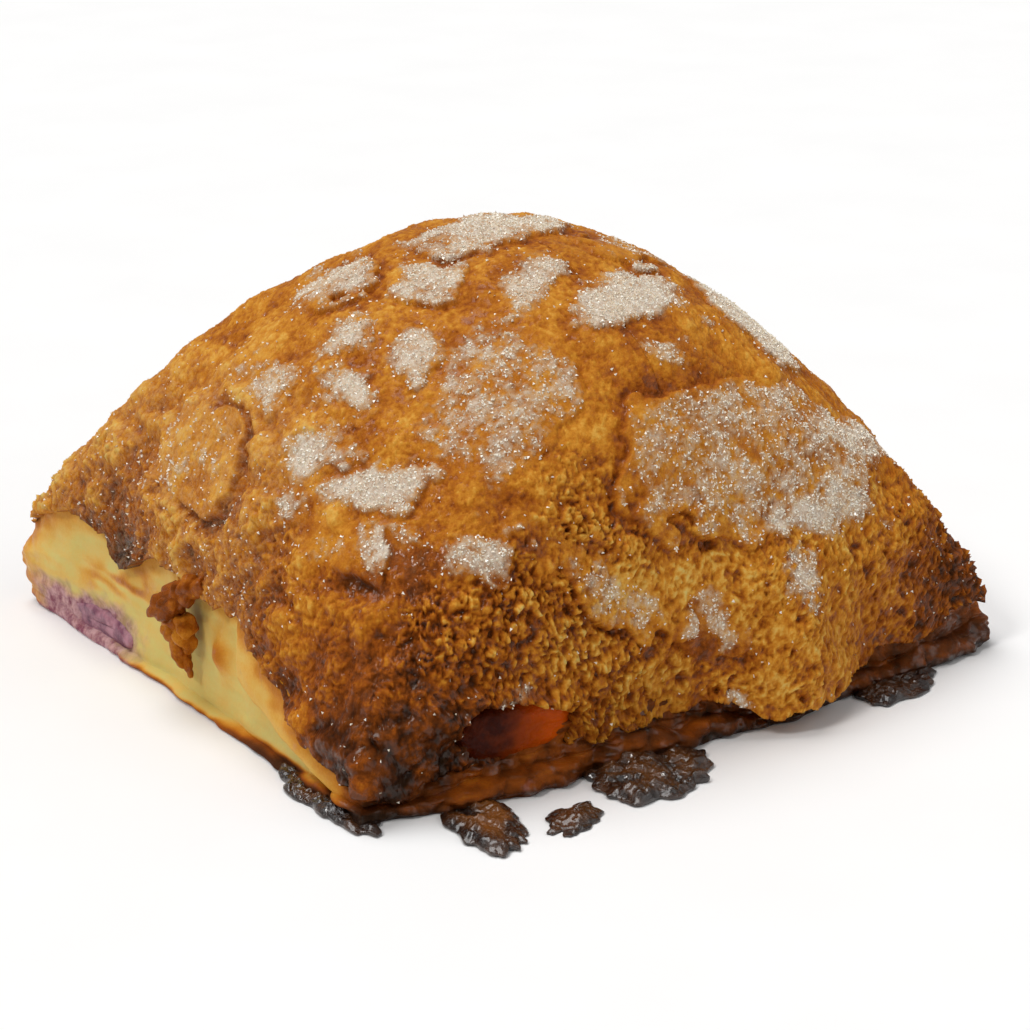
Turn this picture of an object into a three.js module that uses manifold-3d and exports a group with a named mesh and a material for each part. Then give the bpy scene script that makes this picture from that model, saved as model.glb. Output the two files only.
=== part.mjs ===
// A filled puff pastry: a domed, four-cornered pillow under a cracked sugar crust. A pale wall of dough
// shows at its left side with the berry filling at the foot, a window of amber jam opens in its front wall,
// and burnt jam has run out round its base. Millimetres, +Z up, X along the front side, Y to the back, with
// the base on Z = 0.
import * as THREE from 'three';
import { mergeVertices } from 'three/addons/utils/BufferGeometryUtils.js';
import Module from 'manifold-3d';

// Main form
const LENGTH = 91;
const DEPTH = 81;
const HEIGHT = 50.1;
const ROUNDNESS = 2;
const CORNER_PULL = 0.045;
const BOW = { left: -2, right: 0.8, front: 1.5, back: 1.5 };
const FALL = { left: 0.563, right: 0.76, front: 0.35, back: 0.72 };

// Foot of the crust, the wall under it and the thin rim of bottom dough
const FOOT = { leftCorner: 10.5, front: 4.5, frontCorner: 2.5, right: 6.2, back: 6 };
const LEFT_FOOT = {
  at: [-1, -0.86, -0.75, -0.61, -0.52, -0.43, -0.29, 0, 0.55, 0.76, 1],
  rise: [2.5, 3.4, 5.5, 8.2, 10.2, 12.1, 14.5, 15.2, 16.5, 14.2, 10.5],
};
const FLAP = { drop: 4.3, at: 0.38, width: 0.14 };
const FOOT_RAGGED = 0.7;
const FOOT_WAVES = 9;
const DROOP = { out: 5.2, drop: 2.4, at: 0.22, width: 0.17, from: -0.7 };
const LIP_INSET = { left: 2.2, right: 1, front: 1.2, back: 1 };
const CORNER_BULGE = { inset: 0.6, out: 1.6, fromA: -0.6, fromB: 0.45 };
const RIM_OUT = { left: 0.2, right: -0.5, front: 1.2, back: 0.8 };
const RIM_HEIGHT = { left: 1.2, right: 5, front: 2.6, back: 2 };
const RIM_UNDER_FOOT = 0.8;
const RIM_UNEVEN = 0.35;
const RIM_RAGGED = { left: 0.35, right: 0.6, front: 0.9, back: 0.6 };
const RIM_TUCK = 0.4;
const RIM_EDGE = 0.65;
const RIM_LEAST_OUT = -0.3;
const LIP_OVERLAP = 0.3;

// Relief of the crust
const PLATE_RISE = 1.1;
const PLATE_RAGGED = 0.16;
const PLATE_WAVES = 16;
const PLATE_SLOPE = { foot: 1.15, top: 0.8 };
const CRAG_HEIGHT = 0.6;
const CRAG_SIZE = 6;
const CRAG_GROWTH = { fine: 0.6, more: 0.6, fromHeight: 30, toHeight: 8 };

// Mesh steps and the gap between neighbouring pieces
const GRID_STEPS = 28;
const RAY_SAMPLES = 80;
const GAP = 0.35;

// Sugar plates: place as shares of the way from the crown to the edge, half sizes, and turn in degrees
const PLATES = [
  { p: -0.03, q: -0.01, long: 10.5, wide: 5.3, turn: -5 },
  { p: 0.165, q: -0.1, long: 6.9, wide: 5.2, turn: 30 },
  { p: -0.3, q: 0.055, long: 6, wide: 5.6, turn: 60 },
  { p: -0.195, q: -0.1, long: 5.1, wide: 4.3, turn: 130 },
  { p: -0.1, q: -0.215, long: 5.2, wide: 2.6, turn: 35 },
  { p: 0.04, q: -0.28, long: 8.1, wide: 4, turn: 20 },
  { p: 0.31, q: -0.27, long: 8.5, wide: 5.5, turn: 105 },
  { p: -0.395, q: -0.1, long: 4.2, wide: 3.3, turn: 125 },
  { p: -0.45, q: -0.18, long: 3.3, wide: 2.6, turn: 100 },
  { p: -0.545, q: -0.03, long: 5.6, wide: 3.9, turn: 80 },
  { p: -0.735, q: 0.045, long: 9.8, wide: 8, turn: 90 },
  { p: -0.315, q: -0.215, long: 3.6, wide: 3.6, turn: 15 },
  { p: -0.26, q: -0.37, long: 9.8, wide: 9.2, turn: 35 },
  { p: -0.565, q: -0.21, long: 6.1, wide: 2.7, turn: 150 },
  { p: -0.52, q: -0.335, long: 8.8, wide: 2.6, turn: 135 },
  { p: -0.7, q: -0.215, long: 3.5, wide: 1.9, turn: 155 },
  { p: -0.545, q: -0.44, long: 6, wide: 3.3, turn: 140 },
  { p: -0.625, q: -0.37, long: 9.4, wide: 3.4, turn: 125 },
  { p: -0.4, q: -0.58, long: 6.9, wide: 2.9, turn: 135 },
  { p: -0.2, q: -0.74, long: 12.1, wide: 2.8, turn: 135 },
  { p: 0.05, q: -0.4, long: 3.4, wide: 2.3, turn: 5 },
  { p: 0.16, q: -0.58, long: 19.9, wide: 9.8, turn: 5 },
  { p: 0.26, q: -0.675, long: 10.3, wide: 3.1, turn: 0 },
  { p: 0.395, q: -0.51, long: 10.2, wide: 3.3, turn: 15 },
  { p: -0.005, q: -0.865, long: 3.8, wide: 3.7, turn: 60 },
];

// Fillings that show at a side: flat ribbons that run in from there, turned so many degrees from +X
const BERRY = { x: -43.6, y: 26, z: 2.1, halfWidth: 11.5, halfHeight: 1.6, length: 77, turn: 0 };
const AMBER = { x: -25, y: -42.2, z: 7, halfWidth: 6.8, halfHeight: 3.1, length: 13.4, turn: 90 };
const FILLING_LUMP = 0.3;
const FILLING_ROUND = 1.6;
const FILLING_SIDES = 30;

// Burnt jam on the ground: centre, half sizes, turn in degrees, thickness and wave of the ragged outline
const BURNT_JAM = {
  burnt_jam_corner: { x: -43.4, y: -30.8, long: 8.4, wide: 3.2, turn: 90, thick: 2.1, wave: 3 },
  burnt_jam_tongue: { x: -32.2, y: -44.8, long: 8.2, wide: 3.5, turn: 76, thick: 2.2, wave: 5 },
  burnt_jam_front: { x: -11.2, y: -46, long: 7.6, wide: 5.8, turn: -14, thick: 2.5, wave: 8 },
  burnt_jam_right: { x: 27.2, y: -41.4, long: 7.4, wide: 3.9, turn: 18, thick: 2.2, wave: 11 },
  burnt_jam_flake: { x: -24.6, y: -50.4, long: 4.7, wide: 2.5, turn: 28, thick: 1.5, wave: 17 },
};
const JAM_SIDES = 40;
const JAM_RAGGED = 0.34;

const COLOURS = {
  pastry: { color: 0xb97c3a, roughness: 0.6 },
  berry_filling: { color: 0x8a4f63, roughness: 0.35 },
  amber_jam: { color: 0x8a3a10, roughness: 0.2 },
  burnt_jam: { color: 0x2a130b, roughness: 0.25 },
};

const radians = THREE.MathUtils.degToRad;
const ramp = (low, high, t) => THREE.MathUtils.clamp((t - low) / (high - low), 0, 1);
const bell = (t, centre, width) => Math.exp(-(((t - centre) / width) ** 2));

function smooth(low, high, t) {
  const s = ramp(low, high, t);
  return s * s * (3 - 2 * s);
}

// The value at t on the line through the points given by rising places and their values.
function readAlong(places, values, t) {
  const k = Math.min(places.length - 2, Math.max(0, places.findLastIndex((place) => place <= t)));
  return THREE.MathUtils.lerp(values[k], values[k + 1], ramp(places[k], places[k + 1], t));
}

// Repeatable value noise from -1 to 1: each whole-number cell has its own value, blended between cells.
function cellValue(i, j, k) {
  const wave = Math.sin(i * 127.1 + j * 311.7 + k * 74.7) * 43758.5453;
  return 2 * (wave - Math.floor(wave)) - 1;
}

function noise(x, y, z) {
  const cell = [x, y, z].map(Math.floor);
  const blend = [x - cell[0], y - cell[1], z - cell[2]].map((t) => t * t * (3 - 2 * t));
  let total = 0;
  for (let corner = 0; corner < 8; corner++) {
    const step = [corner & 1, (corner >> 1) & 1, corner >> 2];
    const weight = step.reduce((share, on, axis) => share * (on ? blend[axis] : 1 - blend[axis]), 1);
    total += weight * cellValue(cell[0] + step[0], cell[1] + step[1], cell[2] + step[2]);
  }
  return total;
}

// A value given for the four sides, blended smoothly round the corners in the direction (a, b).
function bySide(values, a, b) {
  const power = 6;
  const weights = {
    left: Math.max(0, -a) ** power,
    right: Math.max(0, a) ** power,
    front: Math.max(0, -b) ** power,
    back: Math.max(0, b) ** power,
  };
  const sides = Object.keys(weights);
  const sum = sides.reduce((total, side) => total + weights[side], 0);
  return sides.reduce((total, side) => total + weights[side] * values[side], 0) / sum;
}

// The point of the square border in the direction of (a, b).
function toBorder(a, b) {
  const reach = Math.max(Math.abs(a), Math.abs(b), 1e-6);
  return [a / reach, b / reach];
}

// Height of the crust's lower edge: high over the pale wall at the left, low along the front.
function footHeight(a, b) {
  const [ea, eb] = toBorder(a, b);
  const ragged = FOOT_RAGGED * noise(ea * FOOT_WAVES, eb * FOOT_WAVES, 2);
  if (Math.abs(ea) < Math.abs(eb)) {
    if (eb > 0) return FOOT.back + (FOOT.leftCorner - FOOT.back) * ramp(-0.4, -1, ea) ** 2 + ragged;
    const toLeft = (FOOT.frontCorner - FOOT.front) * ramp(-0.7, -1, ea);
    const toRight = (FOOT.right - FOOT.front) * ramp(0.7, 1, ea);
    return FOOT.front + toLeft + toRight - DROOP.drop * bell(ea, DROOP.at, DROOP.width) + ragged;
  }
  if (ea > 0) return FOOT.right + ragged;
  const flap = FLAP.drop * bell(eb, FLAP.at, FLAP.width);
  return readAlong(LEFT_FOOT.at, LEFT_FOOT.rise, eb) - flap + ragged;
}

// One half of the section: its arc from crown to edge, and the share of that arc at a plan share t.
function arcShare(half, fall) {
  const samples = 400;
  const shares = [0];
  const lengths = [0];
  for (let k = 1; k <= samples; k++) {
    const t = 1 - (1 - k / samples) ** 4;
    const before = shares[k - 1];
    const drop = HEIGHT * ((1 - before ** ROUNDNESS) ** fall - (1 - t ** ROUNDNESS) ** fall);
    shares.push(t);
    lengths.push(lengths[k - 1] + Math.hypot(half * (t - before), drop));
  }
  const arc = lengths[samples];
  const share = (t) => {
    const k = Math.min(samples - 1, Math.floor(samples * (1 - (1 - Math.min(t, 1)) ** 0.25)));
    const within = ramp(shares[k], shares[k + 1], t);
    return (lengths[k] + within * (lengths[k + 1] - lengths[k])) / arc;
  };
  return { arc, share };
}

const ARC = {
  left: arcShare(LENGTH / 2, FALL.left),
  right: arcShare(LENGTH / 2, FALL.right),
  front: arcShare(DEPTH / 2, FALL.front),
  back: arcShare(DEPTH / 2, FALL.back),
};

// Place of a point of the crust as shares of the arcs from the crown, the measure that the plates use.
function layoutPlace(a, b) {
  const p = a < 0 ? -ARC.left.share(-a) : ARC.right.share(a);
  const q = b < 0 ? -ARC.front.share(-b) : ARC.back.share(b);
  return [p, q];
}

// Plan of the pillow: sides that bow a little and corners pulled in.
function planPoint(a, b) {
  const bowX = a < 0 ? BOW.left : BOW.right;
  const bowY = b < 0 ? BOW.front : BOW.back;
  const pull = 1 - CORNER_PULL * (a * b) ** 4;
  const x = a * (LENGTH / 2 + bowX * (1 - b * b)) * pull;
  const y = b * (DEPTH / 2 + bowY * (1 - a * a)) * pull;
  return [x, y];
}

// Smooth crust surface, without its relief, with the swollen foot that droops out at the front.
function crustPoint(a, b) {
  const [x, y] = planPoint(a, b);
  const fallX = a < 0 ? FALL.left : FALL.right;
  const fallY = b < 0 ? FALL.front : FALL.back;
  const domeX = Math.max(0, 1 - Math.abs(a) ** ROUNDNESS) ** fallX;
  const domeY = Math.max(0, 1 - Math.abs(b) ** ROUNDNESS) ** fallY;
  const foot = footHeight(a, b);
  const [, q] = layoutPlace(a, b);
  const droop = DROOP.out * bell(a, DROOP.at, DROOP.width) * Math.sqrt(smooth(DROOP.from, -1, q));
  return new THREE.Vector3(x, y - droop, foot + (HEIGHT - foot) * domeX * domeY);
}

function crustNormal(a, b) {
  const step = 0.002;
  const limit = (t) => THREE.MathUtils.clamp(t, -1, 1);
  const alongA = crustPoint(limit(a + step), b).sub(crustPoint(limit(a - step), b));
  const alongB = crustPoint(a, limit(b + step)).sub(crustPoint(a, limit(b - step)));
  return alongA.cross(alongB).normalize();
}

// Raised sugar plates with ragged outlines, over crags that grow coarser towards the foot.
function plateRise(p, q) {
  const ragged = PLATE_RAGGED * noise(p * PLATE_WAVES, q * PLATE_WAVES, 4);
  let rise = 0;
  for (const plate of PLATES) {
    const dx = (p - plate.p) * ARC.left.arc;
    const dy = (q - plate.q) * ARC.front.arc;
    const cos = Math.cos(radians(plate.turn));
    const sin = Math.sin(radians(plate.turn));
    const reach = Math.hypot((dx * cos + dy * sin) / plate.long, (dy * cos - dx * sin) / plate.wide);
    rise = Math.max(rise, smooth(PLATE_SLOPE.foot, PLATE_SLOPE.top, reach + ragged));
  }
  return PLATE_RISE * rise;
}

function relief(a, b, point) {
  const [p, q] = layoutPlace(a, b);
  const { fine, more, fromHeight, toHeight } = CRAG_GROWTH;
  const coarse = fine + more * ramp(fromHeight, toHeight, point.z);
  const crags = noise(point.x / CRAG_SIZE, point.y / CRAG_SIZE, point.z / CRAG_SIZE);
  return plateRise(p, q) + CRAG_HEIGHT * coarse * crags;
}

// Plan share at an even share of the arc along the ray from the crown to the border point (ea, eb).
function evenShare(ea, eb, share) {
  const steps = [0];
  const lengths = [0];
  let before = crustPoint(0, 0);
  for (let k = 1; k <= RAY_SAMPLES; k++) {
    const t = 1 - (1 - k / RAY_SAMPLES) ** 4;
    const point = crustPoint(t * ea, t * eb);
    steps.push(t);
    lengths.push(lengths[k - 1] + point.distanceTo(before));
    before = point;
  }
  const target = share * lengths[RAY_SAMPLES];
  const k = Math.min(RAY_SAMPLES, Math.max(1, lengths.findIndex((length) => length >= target)));
  return steps[k - 1] + ramp(lengths[k - 1], lengths[k], target) * (steps[k] - steps[k - 1]);
}

function crustNode(i, j) {
  const ring = Math.max(Math.abs(i), Math.abs(j));
  const [ea, eb] = toBorder(i, j);
  const share = ring % GRID_STEPS === 0 ? 1 : evenShare(ea, eb, ring / GRID_STEPS);
  const [a, b] = [share * ea, share * eb];
  const point = crustPoint(a, b);
  return point.addScaledVector(crustNormal(a, b), relief(a, b, point));
}

// Directions of the border, anticlockwise seen from above, starting at the front left corner.
function borderDirections() {
  const count = 2 * GRID_STEPS;
  const sides = [
    (k) => [k - GRID_STEPS, -GRID_STEPS],
    (k) => [GRID_STEPS, k - GRID_STEPS],
    (k) => [GRID_STEPS - k, GRID_STEPS],
    (k) => [-GRID_STEPS, GRID_STEPS - k],
  ];
  return sides.flatMap((side) => Array.from({ length: count }, (_, k) => side(k)));
}

// A border point moved out (or in, if negative) towards or from the middle of the base, at a height.
function borderPoint(i, j, out, z) {
  const [x, y] = planPoint(i / GRID_STEPS, j / GRID_STEPS);
  return new THREE.Vector3(x * (1 + out / (LENGTH / 2)), y * (1 + out / (DEPTH / 2)), z);
}

function rimOut(i, j) {
  const ragged = noise(i * 0.31, j * 0.31, 9) + 0.6 * noise(i * 0.8, j * 0.8, 5);
  const [ea, eb] = [i / GRID_STEPS, j / GRID_STEPS];
  return Math.max(RIM_LEAST_OUT, bySide(RIM_OUT, ea, eb) + bySide(RIM_RAGGED, ea, eb) * ragged);
}

function rimHeight(i, j, foot) {
  const uneven = 1 + RIM_UNEVEN * noise(i * 0.4, j * 0.4, 7);
  return Math.min(bySide(RIM_HEIGHT, i / GRID_STEPS, j / GRID_STEPS) * uneven, foot - RIM_UNDER_FOOT);
}

// How much of the back left corner's bulge the wall has in the direction (ea, eb).
function cornerShare(ea, eb) {
  return smooth(CORNER_BULGE.fromA, -1, ea) * smooth(CORNER_BULGE.fromB, 1, eb);
}

// How far the wall lies in from the crust's lip, less at the back left corner.
function lipInset(ea, eb) {
  return THREE.MathUtils.lerp(bySide(LIP_INSET, ea, eb), CORNER_BULGE.inset, cornerShare(ea, eb));
}

// The wall under the crust's lip, the rim of bottom dough and the ground line, from top to bottom.
function wallRings(directions) {
  const column = ([i, j]) => {
    const [ea, eb] = [i / GRID_STEPS, j / GRID_STEPS];
    const foot = footHeight(ea, eb);
    const inset = lipInset(ea, eb);
    const bulge = CORNER_BULGE.out * cornerShare(ea, eb);
    const rim = rimHeight(i, j, foot);
    const out = rimOut(i, j);
    return [
      borderPoint(i, j, -inset, foot + LIP_OVERLAP),
      borderPoint(i, j, bulge - 0.8 * inset, THREE.MathUtils.lerp(rim, foot, 0.6)),
      borderPoint(i, j, 0.7 * bulge - 0.5 * inset, THREE.MathUtils.lerp(rim, foot, 0.2)),
      borderPoint(i, j, out, RIM_EDGE * rim),
      borderPoint(i, j, out - RIM_TUCK, 0),
    ];
  };
  const columns = directions.map(column);
  return columns[0].map((_, level) => columns.map((points) => points[level]));
}

function geometryFrom(points, triangles) {
  const geometry = new THREE.BufferGeometry();
  const numbers = points.flatMap((point) => point.toArray());
  geometry.setAttribute('position', new THREE.Float32BufferAttribute(numbers, 3));
  geometry.setIndex(triangles.flat());
  return geometry;
}

// Triangles between two rings of equal count, numbered from first and second, the first ring above.
function bandTriangles(first, second, count) {
  const triangles = [];
  for (let k = 0; k < count; k++) {
    const next = (k + 1) % count;
    triangles.push([first + k, second + k, second + next], [first + k, second + next, first + next]);
  }
  return triangles;
}

// A closed body over rings that run from its top to its bottom, anticlockwise seen from above.
function closedBody(rings) {
  const count = rings[0].length;
  const points = rings.flat();
  const triangles = [];
  for (let level = 0; level + 1 < rings.length; level++) {
    triangles.push(...bandTriangles(level * count, (level + 1) * count, count));
  }
  const middle = (ring) => ring.reduce((sum, p) => sum.add(p), new THREE.Vector3()).divideScalar(count);
  const top = points.push(middle(rings[0])) - 1;
  const bottom = points.push(middle(rings[rings.length - 1])) - 1;
  const last = (rings.length - 1) * count;
  for (let k = 0; k < count; k++) {
    const next = (k + 1) % count;
    triangles.push([top, k, next], [bottom, last + next, last + k]);
  }
  return geometryFrom(points, triangles);
}

function pastryBody() {
  const width = 2 * GRID_STEPS + 1;
  const number = (i, j) => (i + GRID_STEPS) * width + j + GRID_STEPS;
  const points = [];
  const triangles = [];
  for (let i = -GRID_STEPS; i <= GRID_STEPS; i++) {
    for (let j = -GRID_STEPS; j <= GRID_STEPS; j++) points.push(crustNode(i, j));
  }
  for (let i = -GRID_STEPS; i < GRID_STEPS; i++) {
    for (let j = -GRID_STEPS; j < GRID_STEPS; j++) {
      const [a, b, c, d] = [number(i, j), number(i + 1, j), number(i + 1, j + 1), number(i, j + 1)];
      triangles.push([a, b, c], [a, c, d]);
    }
  }
  const directions = borderDirections();
  const count = directions.length;
  let above = directions.map(([i, j]) => number(i, j));
  for (const ring of wallRings(directions)) {
    const start = points.length;
    points.push(...ring);
    const below = directions.map((_, k) => start + k);
    for (let k = 0; k < count; k++) {
      const next = (k + 1) % count;
      triangles.push([above[k], below[k], below[next]], [above[k], below[next], above[next]]);
    }
    above = below;
  }
  const middle = points.push(new THREE.Vector3(0, 0, 0)) - 1;
  for (let k = 0; k < count; k++) triangles.push([middle, above[(k + 1) % count], above[k]]);
  return geometryFrom(points, triangles);
}

// A filling as rings along its length, lumpy and rounded at both ends; grow widens it into its pocket.
function fillingBody({ x, y, z, halfWidth, halfHeight, length, turn }, grow) {
  const stations = [0, 0.3, 1, 2, 4, 8].map((step) => (step * FILLING_ROUND) / 2);
  const along = [...stations, ...stations.map((step) => length - step).reverse()];
  const ring = (way) => {
    const toEnd = ramp(0, FILLING_ROUND, Math.min(way, length - way));
    const round = Math.sqrt(1 - (1 - toEnd) ** 2);
    const reach = (half) => half - FILLING_ROUND * (1 - round) + grow;
    return Array.from({ length: FILLING_SIDES }, (_, k) => {
      const angle = (2 * Math.PI * k) / FILLING_SIDES;
      const flat = Math.sign(Math.cos(angle)) * Math.abs(Math.cos(angle)) ** 0.6;
      const lump = FILLING_LUMP * noise(halfWidth * flat * 0.5, 3 * Math.sin(angle), way * 0.3);
      const inward = way + grow * Math.sign(way - length / 2);
      const height = (reach(halfHeight) + lump) * Math.sin(angle);
      return new THREE.Vector3(inward, reach(halfWidth) * flat, height);
    });
  };
  const body = closedBody(along.map(ring).reverse());
  body.rotateZ(radians(turn));
  return body.translate(x, y, z);
}

// A puddle of burnt jam: a ragged flat blister that thins to its edge and lies on the ground.
function puddleBody({ x, y, long, wide, turn, thick, wave }) {
  const levels = [[0.3, 1], [0.62, 0.95], [0.88, 0.72], [1, 0.35], [0.97, 0]];
  const ring = ([reach, height]) => Array.from({ length: JAM_SIDES }, (_, k) => {
    const angle = (2 * Math.PI * k) / JAM_SIDES;
    const coarse = noise(1.8 * Math.cos(angle), 1.8 * Math.sin(angle), wave);
    const fine = noise(4.5 * Math.cos(angle), 4.5 * Math.sin(angle), wave + 30);
    const ragged = 1 + JAM_RAGGED * reach * (coarse + 0.5 * fine);
    const along = long * reach * ragged * Math.cos(angle);
    const across = wide * reach * ragged * Math.sin(angle);
    const lump = 1 + 0.25 * noise(along / 2, across / 2, wave + 0.5);
    return new THREE.Vector3(along, across, thick * height * lump);
  });
  const body = closedBody(levels.map(ring));
  body.rotateZ(radians(turn));
  return body.translate(x, y, 0);
}

// Upright prism over a loop, used to keep the burnt jam clear of what stands on the ground inside it.
function prism(loop) {
  const at = (z) => loop.map((p) => new THREE.Vector3(p.x, p.y, z));
  return closedBody([at(HEIGHT), at(-1)]);
}

function footprints() {
  const directions = borderDirections();
  const grown = (p) => new THREE.Vector3(p.x * (1 + GAP / (LENGTH / 2)), p.y * (1 + GAP / (DEPTH / 2)), 0);
  const rim = directions.map(([i, j]) => borderPoint(i, j, rimOut(i, j) + GAP, 0));
  const crust = directions.map(([i, j]) => grown(crustNode(i, j)));
  return [prism(rim), prism(crust)];
}

const wasm = await Module();
wasm.setup();

function toSolid(geometry) {
  const bare = geometry.clone();
  bare.deleteAttribute('normal');
  bare.deleteAttribute('uv');
  const merged = mergeVertices(bare, 1e-4);
  const mesh = new wasm.Mesh({
    numProp: 3,
    vertProperties: Float32Array.from(merged.attributes.position.array),
    triVerts: Uint32Array.from(merged.index.array),
  });
  return new wasm.Manifold(mesh);
}

function toGeometry(solid) {
  const { vertProperties, triVerts } = solid.getMesh();
  const geometry = new THREE.BufferGeometry();
  geometry.setAttribute('position', new THREE.BufferAttribute(vertProperties, 3));
  geometry.setIndex(new THREE.BufferAttribute(triVerts, 1));
  geometry.computeVertexNormals();
  return geometry;
}

const cutAway = (solid, cutters) => cutters.reduce((left, cutter) => left.subtract(toSolid(cutter)), solid);

function piece(name, geometry, { color, roughness }) {
  const mesh = new THREE.Mesh(geometry, new THREE.MeshStandardMaterial({ color, roughness, metalness: 0 }));
  mesh.name = name;
  return mesh;
}

function filledPastry() {
  const group = new THREE.Group();
  const pastry = cutAway(toSolid(pastryBody()), [fillingBody(BERRY, GAP), fillingBody(AMBER, GAP)]);
  group.add(piece('pastry', toGeometry(pastry), COLOURS.pastry));
  group.add(piece('berry_filling', toGeometry(toSolid(fillingBody(BERRY, 0))), COLOURS.berry_filling));
  group.add(piece('amber_jam', toGeometry(toSolid(fillingBody(AMBER, 0))), COLOURS.amber_jam));
  const keepOut = footprints();
  for (const [name, puddle] of Object.entries(BURNT_JAM)) {
    const jam = cutAway(toSolid(puddleBody(puddle)), keepOut);
    group.add(piece(name, toGeometry(jam), COLOURS.burnt_jam));
  }
  return group;
}

export default filledPastry();
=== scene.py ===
import math

import bpy
import numpy as np
from mathutils import Matrix, Vector
from mathutils import noise as field


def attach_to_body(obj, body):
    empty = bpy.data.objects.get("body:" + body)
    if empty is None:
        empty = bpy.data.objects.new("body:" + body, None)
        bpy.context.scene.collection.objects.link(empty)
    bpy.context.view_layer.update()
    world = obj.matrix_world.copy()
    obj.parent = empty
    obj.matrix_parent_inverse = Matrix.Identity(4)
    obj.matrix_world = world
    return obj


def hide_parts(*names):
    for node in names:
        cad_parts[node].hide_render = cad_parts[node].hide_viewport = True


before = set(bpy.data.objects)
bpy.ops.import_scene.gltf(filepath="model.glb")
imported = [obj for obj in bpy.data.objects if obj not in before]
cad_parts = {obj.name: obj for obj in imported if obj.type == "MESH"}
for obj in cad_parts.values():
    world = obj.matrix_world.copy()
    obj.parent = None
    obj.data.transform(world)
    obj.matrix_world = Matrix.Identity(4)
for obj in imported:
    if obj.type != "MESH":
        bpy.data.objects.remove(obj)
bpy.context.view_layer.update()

# One fixed seed for every draw by chance
field.seed_set(11)

# Sizes are in millimetres and become metres when a mesh is made
MM = 0.001

# Main form of the pastry, the same as the solid's
LENGTH = 91.0
DEPTH = 81.0
HEIGHT = 50.1
ROUNDNESS = 2.0
CORNER_PULL = 0.045
BOW = {"left": -2.0, "right": 0.8, "front": 1.5, "back": 1.5}
FALL = {"left": 0.563, "right": 0.76, "front": 0.35, "back": 0.72}
FOOT = {"left_corner": 10.5, "front": 4.5, "front_corner": 2.5, "right": 6.2, "back": 6.0}
LEFT_FOOT = {
    "at": [-1.0, -0.86, -0.75, -0.61, -0.52, -0.43, -0.29, 0.0, 0.55, 0.76, 1.0],
    "rise": [2.5, 3.4, 5.5, 8.2, 10.2, 12.1, 14.5, 15.2, 16.5, 14.2, 10.5],
}
FLAP = {"drop": 4.3, "at": 0.38, "width": 0.14}
FOOT_RAGGED = 0.7
DROOP = {"out": 5.2, "drop": 2.4, "at": 0.22, "width": 0.17, "start": -0.7}
LIP_INSET = {"left": 2.2, "right": 1.0, "front": 1.2, "back": 1.0}
CORNER_BULGE = {"inset": 0.6, "out": 1.6, "from_a": -0.6, "from_b": 0.45}
RIM_OUT = {"left": 0.2, "right": -0.5, "front": 1.2, "back": 0.8}
RIM_HEIGHT = {"left": 1.2, "right": 5.0, "front": 2.6, "back": 2.0}
RIM_UNDER_FOOT = 0.8
RIM_RAGGED = {"left": 0.35, "right": 0.6, "front": 0.9, "back": 0.6}
RIM_TUCK = 0.4
LID = {"over_foot": 2.0, "lower_at_corner": 1.7}
CRAG_HEIGHT = 0.6
CRAG_SIZE = 6.0
SOLID_STEPS = 28

# Steps of the crust's grid from crown to edge, and of the dough wall round and down
CRUST_STEPS = 300
RAY_DIRECTIONS = 640
WALL_STEPS_ROUND = 1200
WALL_STEPS_DOWN = 46
RIM_STEPS = 20

# Point inside that the hidden faces of the crust's quarters run to, and the crust's lowest height
INNER_POINT = (0.0, 0.0, 18.0)
CRUST_LOWEST = 0.4

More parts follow.
